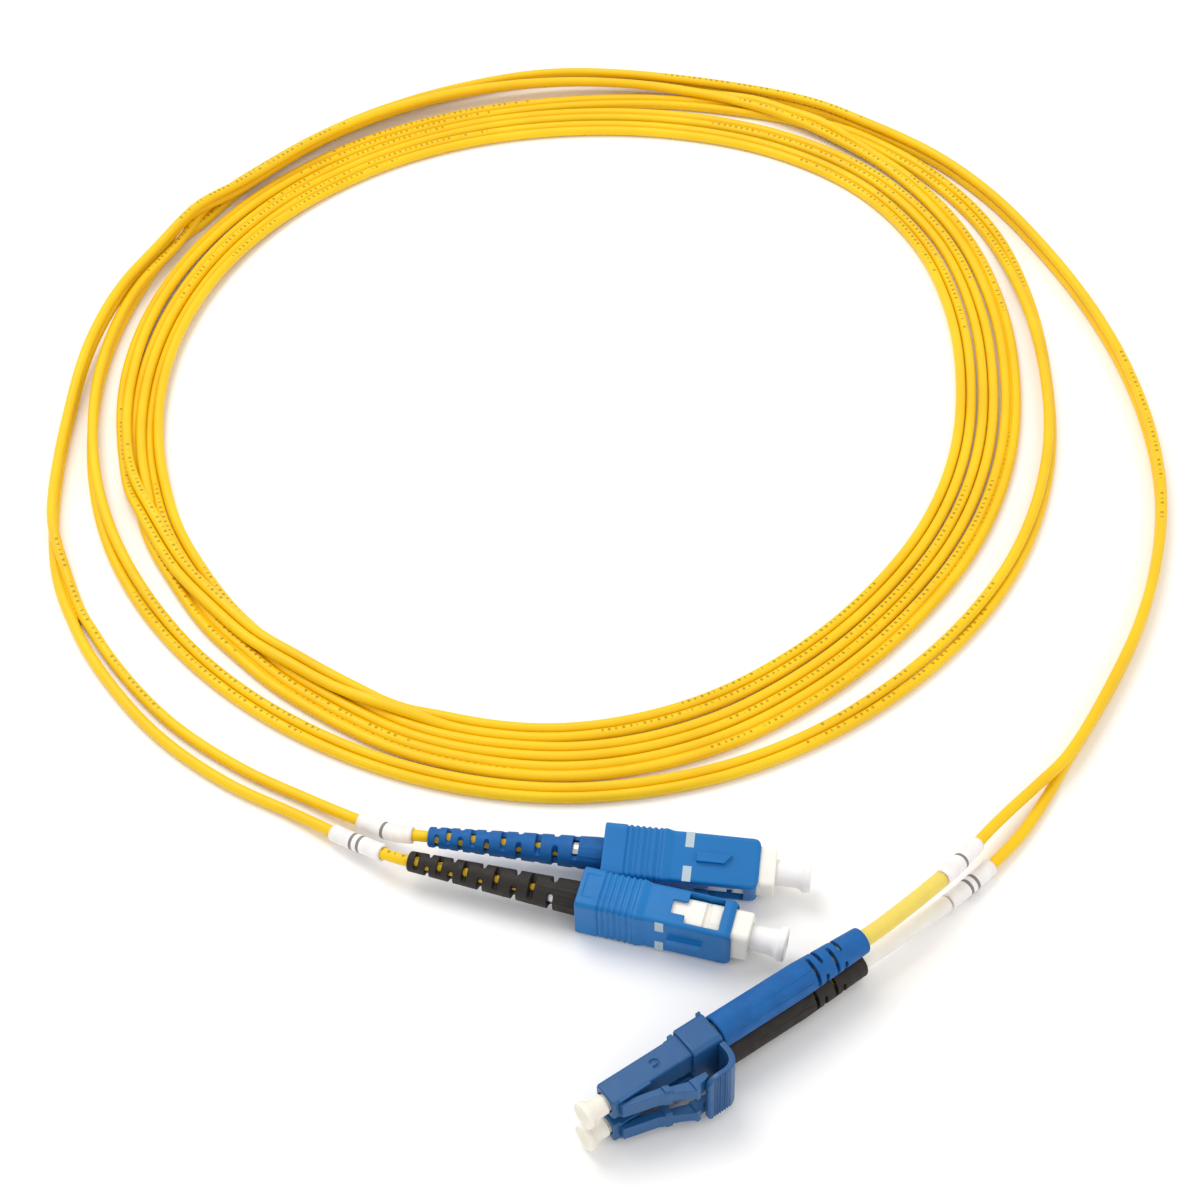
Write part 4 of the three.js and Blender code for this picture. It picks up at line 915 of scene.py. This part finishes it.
def sc_profile():
    """Stations of the grip housing: collar, rounded finger ridges, ramp, shank and nose."""
    full_w = SC_WIDTH + 2 * COLLAR_STEP
    full_h = SC_HEIGHT + 2 * COLLAR_STEP
    rows = [
        (SC_REAR, full_w - 0.3, full_h - 0.3, 0.8),
        (SC_REAR + 0.2, full_w, full_h, 0.9),
        (RIDGES_REAR - 0.2, full_w, full_h, 0.9),
    ]
    pitch = (RIDGES_FRONT - RIDGES_REAR) / RIDGE_COUNT
    for i in range(RIDGE_COUNT):
        for k in range(8):
            share = k / 8
            depth = RIDGE_DEPTH * (0.5 + 0.5 * math.cos(2 * math.pi * share)) ** 1.4
            x = RIDGES_REAR + (i + share) * pitch
            rows.append((x, full_w - 2 * depth, full_h - 2 * depth, 0.85))
    for k in range(7):
        share = k / 6
        step = COLLAR_STEP * (0.5 + 0.5 * math.cos(math.pi * share))
        x = RIDGES_FRONT + 0.1 + (RAMP_FRONT - RIDGES_FRONT - 0.1) * share
        rows.append((x, SC_WIDTH + 2 * step, SC_HEIGHT + 2 * step, 0.75))
    for k in range(9):
        x = -NOSE_RADIUS + NOSE_RADIUS * math.sin(math.pi / 2 * k / 8)
        narrow = NOSE_RADIUS - math.sqrt(max(0, NOSE_RADIUS ** 2 - (x + NOSE_RADIUS) ** 2))
        beyond = max(0, x + NOSE_SIDE_RADIUS)
        lower = NOSE_SIDE_RADIUS - math.sqrt(max(0, NOSE_SIDE_RADIUS ** 2 - beyond ** 2))
        rows.append((x, SC_WIDTH - 2 * narrow, SC_HEIGHT - 2 * lower, 0.7))
    return rows


def sc_housing(name, recessed):
    """The grip housing, with its key, side windows and the notches behind them."""
    housing = loft(name, sc_profile())
    key_outline = [(-10.7, -0.8), (-6.0, -0.8), (-4.7, 0.8), (-10.7, 0.8)]
    join(housing, prism("key", key_outline, 3.3, SC_HEIGHT / 2 + KEY_HEIGHT))
    bore = bar("bore", SC_REAR - 1, 1, SC_WIDTH - 2 * SC_WALL, SC_HEIGHT - 2 * SC_WALL, 0.4)
    window = slab("window", (-8.3, -6, SC_WALL - SC_HEIGHT / 2), (-2.4, 6, 2.7))
    notch = slab("notch", (-10.8, -6, -1.3), (-8.2, 6, 1.3))
    cut(housing, bore, window, notch)
    if recessed:
        cut(housing, slab("recess", (-25.7, 4.6, -2.5), (-23.2, 6, 2.1)))
    return soften(housing, 0.12)


def sc_marks(name):
    """Two pale bars on the key's face, behind the key."""
    marks = None
    for side in (1, -1):
        piece = bar("mark", -12.8, -11.35, 2.7, 0.06, 0.02)
        piece.data.transform(Matrix.Translation((0, side * 3.0, SC_HEIGHT / 2 + 0.01)))
        marks = piece if marks is None else join(marks, piece)
    marks.name = name
    return marks


def sc_frame(name):
    """The inner frame: a rounded block with a rib, a mouth, a guide for the ferrule and a chamber."""
    block = loft(name, [
        (FRAME_REAR, FRAME_WIDTH, FRAME_HEIGHT, 1.1),
        (FRAME_FRONT - 0.35, FRAME_WIDTH, FRAME_HEIGHT, 1.1),
        (FRAME_FRONT - 0.1, FRAME_WIDTH - 0.25, FRAME_HEIGHT - 0.25, 1.05),
        (FRAME_FRONT, FRAME_WIDTH - 0.6, FRAME_HEIGHT - 0.6, 0.95),
    ])
    join(block, bar("rib", -4.15, -2.5, FRAME_WIDTH + 0.3, 3.4, 0.5))
    mouth = lathe("mouth", [(-2.35, 0), (-2.35, CHAMBER_RADIUS), (4, CHAMBER_RADIUS), (4, 0)])
    guide = lathe("guide", [(-6, 0), (-6, 1.4), (0, 1.4), (0, 0)])
    chamber = lathe("chamber", [(-20, 0), (-20, CHAMBER_RADIUS), (-4.55, CHAMBER_RADIUS), (-4.55, 0)])
    cut(block, mouth, guide, chamber, *slab_pair("groove", (-5.3, 3, -4), (-4.4, 6, 4), axis=1))
    return soften(block, 0.11)


def slot_cutter(x, width, core, reach, angle):
    """A pair of slots with rounded ends that leave a core between them, turned about x."""
    half = width / 2
    made = None
    for side in (1, -1):
        outline = [(x - half, side * reach), (x + half, side * reach)]
        for k in range(9):
            turn = math.pi * k / 8
            outline.append((x + half * math.cos(turn), side * (core + half - half * math.sin(turn))))
        piece = prism("slot", outline, -reach, reach)
        made = piece if made is None else join(made, piece)
    made.data.transform(Matrix.Rotation(angle, 4, "X"))
    return made


def sc_boot(name, turn):
    """A tapered boot with pairs of slots, each pair a quarter turn from the last."""
    tip, tip_radius, radius = BOOT_RUN["sc"][1], 1.75, 2.9
    boot = lathe(name, [
        (tip, 1.12), (tip, tip_radius - 0.25), (tip + 0.25, tip_radius), (-27.5, radius), (-20.0, radius),
        (-20.0, 2.4), (-28.9, 2.4), (-29.7, 1.9), (-33.1, 1.9), (-33.1, 1.12),
    ])
    x = tip
    for i, spacing in enumerate((1.6, 2.0, 2.1, 2.1, 2.4, 2.8, 2.7, 3.2, 3.0, 3.4)):
        x += spacing
        along = (x - tip) / 30
        outer = tip_radius + (radius - tip_radius) * along
        width = 0.75 + 0.35 * along
        cut(boot, slot_cutter(x, width, outer * 0.36, 5.0, math.radians(turn + 90 * (i % 2))))
    return soften(boot, 0.1)


def sc_cap(name):
    """A natural cap: straight barrel, short flare and a thick flange with a shallow cup."""
    cap = lathe(name, [
        (-1.85, 1.55), (-1.85, 2.05), (-1.2, 2.2), (5.6, 2.2), (6.3, 2.26), (6.9, 2.45), (7.25, 2.75),
        (7.5, 2.93), (8.35, 2.95), (8.6, 2.75), (8.6, 1.4), (8.2, 1.2), (6.2, 1.05), (6.0, 0.02), (4.3, 0.02),
        (4.2, 1.55),
    ])
    return soften(cap, 0.08)


# --- LC plugs

LC_NOSE = 4.5
LC_BODY = 4.7
LC_PITCH = 6.25
LEVER_ROOT = 2.55
# The lever's outline from the side: x, and the height above its root.
LEVER_SIDE = [
    (-1.2, -0.24), (-1.9, -0.24), (-2.2, 0.0), (-3.5, 0.0), (-8.0, 1.15), (-12.4, 2.7), (-15.2, 2.95),
    (-15.2, 3.85), (-14.4, 4.1), (-13.3, 4.25), (-12.9, 4.9), (-12.3, 4.9), (-10.6, 3.85), (-8.9, 3.0),
    (-8.2, 2.8), (-6.8, 2.1), (-1.7, 0.75), (-1.2, 0.6),
]
SHOULDER_SIDE = [(-7.9, 1.25), (-9.0, 1.65), (-9.0, 2.9), (-7.9, 2.5)]
CLIP_REAR = -20.7
CLIP_FRONT = -15.1
TRIGGER_GROOVES = 7


def lc_body(name, marked):
    """The body with its nose, a ridge below, two rails beside the lever's root, and the bores."""
    body = loft(name, [
        (-20.0, LC_BODY, LC_BODY, 0.4), (-12.9, LC_BODY, LC_BODY, 0.4), (-12.75, LC_NOSE, LC_NOSE, 0.35),
        (-0.3, LC_NOSE, LC_NOSE, 0.35), (0.0, LC_NOSE - 0.35, LC_NOSE - 0.35, 0.3),
    ])
    join(body, slab("ridge", (-14.8, -2.85, -2.2), (-13.9, 0, 2.2)))
    join(body, *slab_pair("rail", (-7.0, 1.9, 1.62), (-1.2, 2.5, 2.2), axis=2))
    mouth = lathe("mouth", [(-3.0, 0), (-3.0, 1.75), (1, 1.75), (1, 0)])
    guide = lathe("guide", [(-6, 0), (-6, 0.8), (0, 0.8), (0, 0)])
    chamber = lathe("chamber", [(-21, 0), (-21, 1.75), (-4.2, 1.75), (-4.2, 0)])
    cut(body, mouth, guide, chamber)
    if marked:
        ring = []
        for radius, turns in ((0.85, range(13)), (0.42, range(12, -1, -1))):
            for k in turns:
                turn = math.radians(40 + 280 * k / 12)
                ring.append((-9.5 + radius * math.cos(turn), radius * math.sin(turn)))
        cut(body, prism("mark", ring, LC_NOSE / 2 - 0.3, 3.0))
    return soften(body, 0.09)


def lc_lever(name):
    arm = prism(name, [(x, LEVER_ROOT + y) for x, y in LEVER_SIDE], -1.45, 1.45)
    cut(arm, *slab_pair("waist", (-12.2, 0, 1.1), (-9.0, 9, 4), axis=2))
    shoulders = prism("shoulders", [(x, LEVER_ROOT + y) for x, y in SHOULDER_SIDE], -1.95, 1.95)
    join(arm, shoulders)
    return soften(arm, 0.08)


def lc_clip(name):
    """The band that holds both bodies, in the coordinates of plug B."""
    clip = loft(name, [
        (CLIP_REAR, 5.6, 11.85, 0.8), (CLIP_REAR + 0.25, 5.95, 12.2, 0.95),
        (CLIP_FRONT - 0.25, 5.95, 12.2, 0.95), (CLIP_FRONT, 5.6, 11.85, 0.8),
    ])
    join(clip, slab("nub", (CLIP_REAR + 0.1, -3.2, 5.3), (CLIP_REAR + 0.9, -2.8, 6.1)))
    for z in (0, LC_PITCH):
        pocket = bar("pocket", CLIP_REAR - 1, CLIP_FRONT + 1, 4.84, 4.84, 0.35)
        pocket.data.transform(Matrix.Translation((0, 0, z - LC_PITCH / 2)))
        cut(clip, pocket)
    clip.data.transform(Matrix.Translation((0, 0, LC_PITCH / 2)))
    return soften(clip, 0.11)


def lc_trigger(name):
    """The press tab over both levers, in the coordinates of plug B."""
    foot, stem, inside, outside = 3.07, 4.3, 7.0, 8.0
    front, curl = CLIP_REAR + 6.6, CLIP_REAR + 3.4
    side = [(CLIP_REAR, foot)] + quadratic((CLIP_REAR, stem), (CLIP_REAR, outside), (curl, outside))
    side += [(front - 0.3, outside), (front, outside - 0.35), (front, inside)]
    side += quadratic((curl, inside), (CLIP_REAR + 1, inside), (CLIP_REAR + 1, stem))
    side.append((CLIP_REAR + 1, foot))
    tab = prism(name, side, -2.2, LC_PITCH + 2.2)
    low, high, corner = -2.2, LC_PITCH + 2.2, 2.4
    mask = [(-22, high + 1), (-22, low + corner)]
    mask += quadratic((CLIP_REAR - 0.1, low + corner), (CLIP_REAR - 0.1, low), (CLIP_REAR + corner, low))
    mask += quadratic((front - 0.9, low), (front, low), (front, low + 0.9))
    mask += quadratic((front, high - 2.0), (front, high), (front - 2.6, high)) + [(front - 3, high + 1)]
    outline = prism("mask", mask, -12, 0)
    outline.data.transform(Matrix.Rotation(math.pi / 2, 4, "X"))
    combine(tab, "INTERSECT", outward(outline))
    for k in range(TRIGGER_GROOVES):
        x = curl - 1 + (front - 0.8 - curl + 1) * k / TRIGGER_GROOVES
        cut(tab, slab("groove", (x, outside - 0.25, -5), (x + 0.32, 12, 12)))
    return soften(tab, 0.09, 2)


def lc_boot(name):
    tip = BOOT_RUN["lc"][1]
    boot = lathe(name, [
        (tip, 1.58), (tip, 2.1), (tip + 0.2, 2.3), (-38.0, 2.88), (-21.4, 2.9), (-21.2, 2.7), (-21.2, 2.2),
        (-32.9, 2.2), (-33.3, 1.58),
    ])
    for i, distance in enumerate((10.9, 9.2, 6.9, 5.2)):
        cut(boot, slot_cutter(tip + distance, 0.6, 0.9, 5.0, math.radians(45 + 90 * (i % 2))))
    return soften(boot, 0.1)


def lc_cap(name):
    cap = lathe(name, [
        (-2.6, 0.93), (-2.6, 1.3), (-2.4, 1.45), (0.2, 1.45), (0.35, 1.7), (1.8, 1.7), (2.5, 1.8), (3.0, 2.0),
        (3.5, 2.3), (3.9, 2.35), (4.25, 2.3), (4.3, 2.1), (4.0, 1.6), (3.75, 0.9), (3.7, 0.02), (2.1, 0.02),
        (2.0, 0.93),
    ])
    return soften(cap, 0.07)


# --- springs

# Along each plug's axis from the stop to the flange: the wire's middle at both ends, the coil's
# radius, the wire's radius and the turns between the two closed end turns.
SPRING_SIZE = {"sc": (-14.9, -8.45, 1.85, 0.25, 5), "lc": (-13.4, -7.3, 1.35, 0.15, 6)}
SPRING_STEPS = 30  # points in one turn
WIRE_SIDES = 10
CLOSED_PITCH = 2.1  # a closed turn's pitch, in wire radii


def spring(name, rear, front, radius, wire, turns):
    """A compression spring in plug coordinates, with a closed turn at each end."""
    closed = CLOSED_PITCH * wire
    pitch = (front - rear - 2 * closed) / turns
    rings = []
    for i in range((turns + 2) * SPRING_STEPS + 1):
        turn = i / SPRING_STEPS
        opened = min(max(turn - 1, 0), turns)
        x = rear + pitch * opened + closed * (turn - opened)
        angle = 2 * math.pi * turn
        ring = []
        for k in range(WIRE_SIDES):
            around = 2 * math.pi * k / WIRE_SIDES
            out = radius + wire * math.cos(around)
            ring.append((x + wire * math.sin(around), out * math.cos(angle), out * math.sin(angle)))
        rings.append(ring)
    return smooth_shade(rings_mesh(name, rings, capped=True))


def add_spring(plug):
    """The spring sits between the stop and the ferrule set, in place of the CAD spring."""
    rear, front, radius, wire, turns = SPRING_SIZE[plug[:2]]
    piece = spring(f"{plug}_spring_coil", rear, front, radius, wire, turns)
    piece.data.transform(PLACE[plug])
    piece.data.materials.append(SPRING_WIRE)
    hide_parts(f"{plug}_spring")
    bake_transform(piece)


for plug in PLACE:
    add_spring(plug)

# --- placing the pieces

BOOT_TURN = {"a": -21.0, "b": 10.0}  # how far the slots are turned from the key


def place_piece(made, plug, ending, material, body, slot, *nodes):
    """A piece of one plug, which stands for that plug's CAD nodes with these endings."""
    nodes = [f"{plug}_{node}" for node in nodes]
    finished(made, f"{plug}_{ending}", PLACE[plug], material, body, slot, *nodes)


sc_frame_mesh = sc_frame("frame_template")
sc_cap_mesh = sc_cap("sc_cap_template")
sc_marks_mesh = sc_marks("marks_template")
lc_lever_mesh = lc_lever("lever_template")
lc_boot_mesh = lc_boot("lc_boot_template")
lc_cap_mesh = lc_cap("lc_cap_template")

for letter in "ab":
    sc, lc = f"sc_{letter}", f"lc_{letter}"
    boot_slot = {"a": "boot_blue", "b": "boot_black"}[letter]
    housing_mesh = sc_housing(f"housing_template_{letter}", recessed=letter == "b")
    place_piece(housing_mesh, sc, "housing_shell", SC_BLUE, f"{sc}_grip", "sc_housing_blue", "grip_housing")
    place_piece(sc_marks_mesh, sc, "marks", MARK, f"{sc}_grip", "label_white")
    place_piece(sc_frame_mesh, sc, "frame_block", FRAME_CREAM, "root", "sc_frame_cream", "inner_frame")
    sc_boot_mesh = sc_boot(f"sc_boot_template_{letter}", BOOT_TURN[letter])
    place_piece(sc_boot_mesh, sc, "boot_rubber", RUBBER[letter], "root", boot_slot, "boot")
    place_piece(sc_cap_mesh, sc, "cap_shell", CAP_NATURAL, f"{sc}_cap", "cap_natural", "dust_cap")
    body_mesh = lc_body(f"body_template_{letter}", marked=letter == "a")
    place_piece(body_mesh, lc, "body_shell", LC_BLUE, "root", "lc_body_blue", "body")
    place_piece(lc_lever_mesh, lc, "lever_arm", LC_BLUE, f"{lc}_lever", "lc_body_blue", "latch_lever")
    place_piece(lc_boot_mesh, lc, "boot_rubber", RUBBER[letter], "root", boot_slot, "boot")
    place_piece(lc_cap_mesh, lc, "cap_shell", CAP_CREAM, f"{lc}_cap", "cap_cream", "dust_cap")

clip_mesh = lc_clip("clip_template")
finished(clip_mesh, "lc_clip_band", PLACE["lc_b"], LC_BLUE, "root", "lc_body_blue", "lc_duplex_clip")
trigger_mesh = lc_trigger("trigger_template")
finished(trigger_mesh, "lc_trigger_tab", PLACE["lc_b"], LC_BLUE, "lc_trigger", "lc_body_blue", "lc_trigger")
for made in [made for made in bpy.data.objects if "_template" in made.name]:
    bpy.data.objects.remove(made)

# --- sleeves and web

BOOT_SPAN = {kind: (end - tip) * MM for kind, (end, tip) in BOOT_RUN.items()}
LABEL_LENGTH = 0.011
SC_LABEL_DISTANCE = {"a": 0.0027, "b": 0.0050}  # from the boot's tip
CLEAR_SLEEVE = (BOOT_SPAN["lc"] - 0.006, BOOT_SPAN["lc"] + 0.020)  # it starts inside the boot
LABEL_START = CLEAR_SLEEVE[1] + 0.0003
CLEAR_RADII = (0.00145, 0.00112)  # outer and inner
LABEL_RADII = (0.0015, 0.00106)
SLEEVE_STEP = 0.0005
SLEEVE_SIDES = 40
WEB_RADIUS = 0.00032
WEB_LIMIT = 1.12  # the web joins strands closer than this many pitches
SLEEVES = {"a": [], "b": []}


def add_sleeve(letter, name, start, end, radii, material, slot_name, node):
    """A sleeve round a strand between two distances from the strand's LC end."""
    path = points_at(strand_path[letter], np.arange(start, end + SLEEVE_STEP / 2, SLEEVE_STEP))
    piece = tube(name, path, radii[0], sides=SLEEVE_SIDES, inner=radii[1])
    SLEEVES[letter].append(dress(piece, material, "root", slot_name, node))


for letter in "ab":
    whole = run_of(strand_path[letter])[-1]
    add_sleeve(letter, f"lc_{letter}_clear", *CLEAR_SLEEVE, CLEAR_RADII, SLEEVE[letter],
               f"clear_sleeve_{letter}", f"lc_{letter}_clear_sleeve")
    label_end = whole - BOOT_SPAN["sc"] - SC_LABEL_DISTANCE[letter]
    for plug, start in (("lc", LABEL_START), ("sc", label_end - LABEL_LENGTH)):
        add_sleeve(letter, f"{plug}_{letter}_label", start, start + LABEL_LENGTH, LABEL_RADII,
                   LABEL[letter], "label_white", f"{plug}_{letter}_label_sleeve")

gap_between = np.linalg.norm(strand_path["a"] - strand_path["b"], axis=1)
joined = np.where(gap_between < STRAND_PITCH * WEB_LIMIT)[0]
web_path = (strand_path["a"] + strand_path["b"])[joined[0]:joined[-1] + 1] / 2
web = tube("cord_web", web_path, WEB_RADIUS, sides=8)
SLEEVES["a"].append(dress(web, JACKET, "root", "cord_yellow"))

# --- carried-over pieces

KEPT = {
    "_ferrule": CERAMIC, "_ferrule_flange": PLATED, "_stop_ring": PLATED,
    "_rear_body": PLATED, "_crimp_sleeve": PLATED, "_buffered_fiber": BUFFER,
}
for node in frame["nodes"]:
    for ending, material in KEPT.items():
        if node.endswith(ending):
            piece = frame["nodes"][node]
            piece.data.materials.clear()
            piece.data.materials.append(material)

# --- finish

FLOOR_REACH = 3.0


corners = [(x * FLOOR_REACH, y * FLOOR_REACH, 0) for x, y in ((-1, -1), (1, -1), (1, 1), (-1, 1))]
floor = mesh_object("floor", corners, [(0, 1, 2, 3)])
floor.data.materials.append(floor_material())
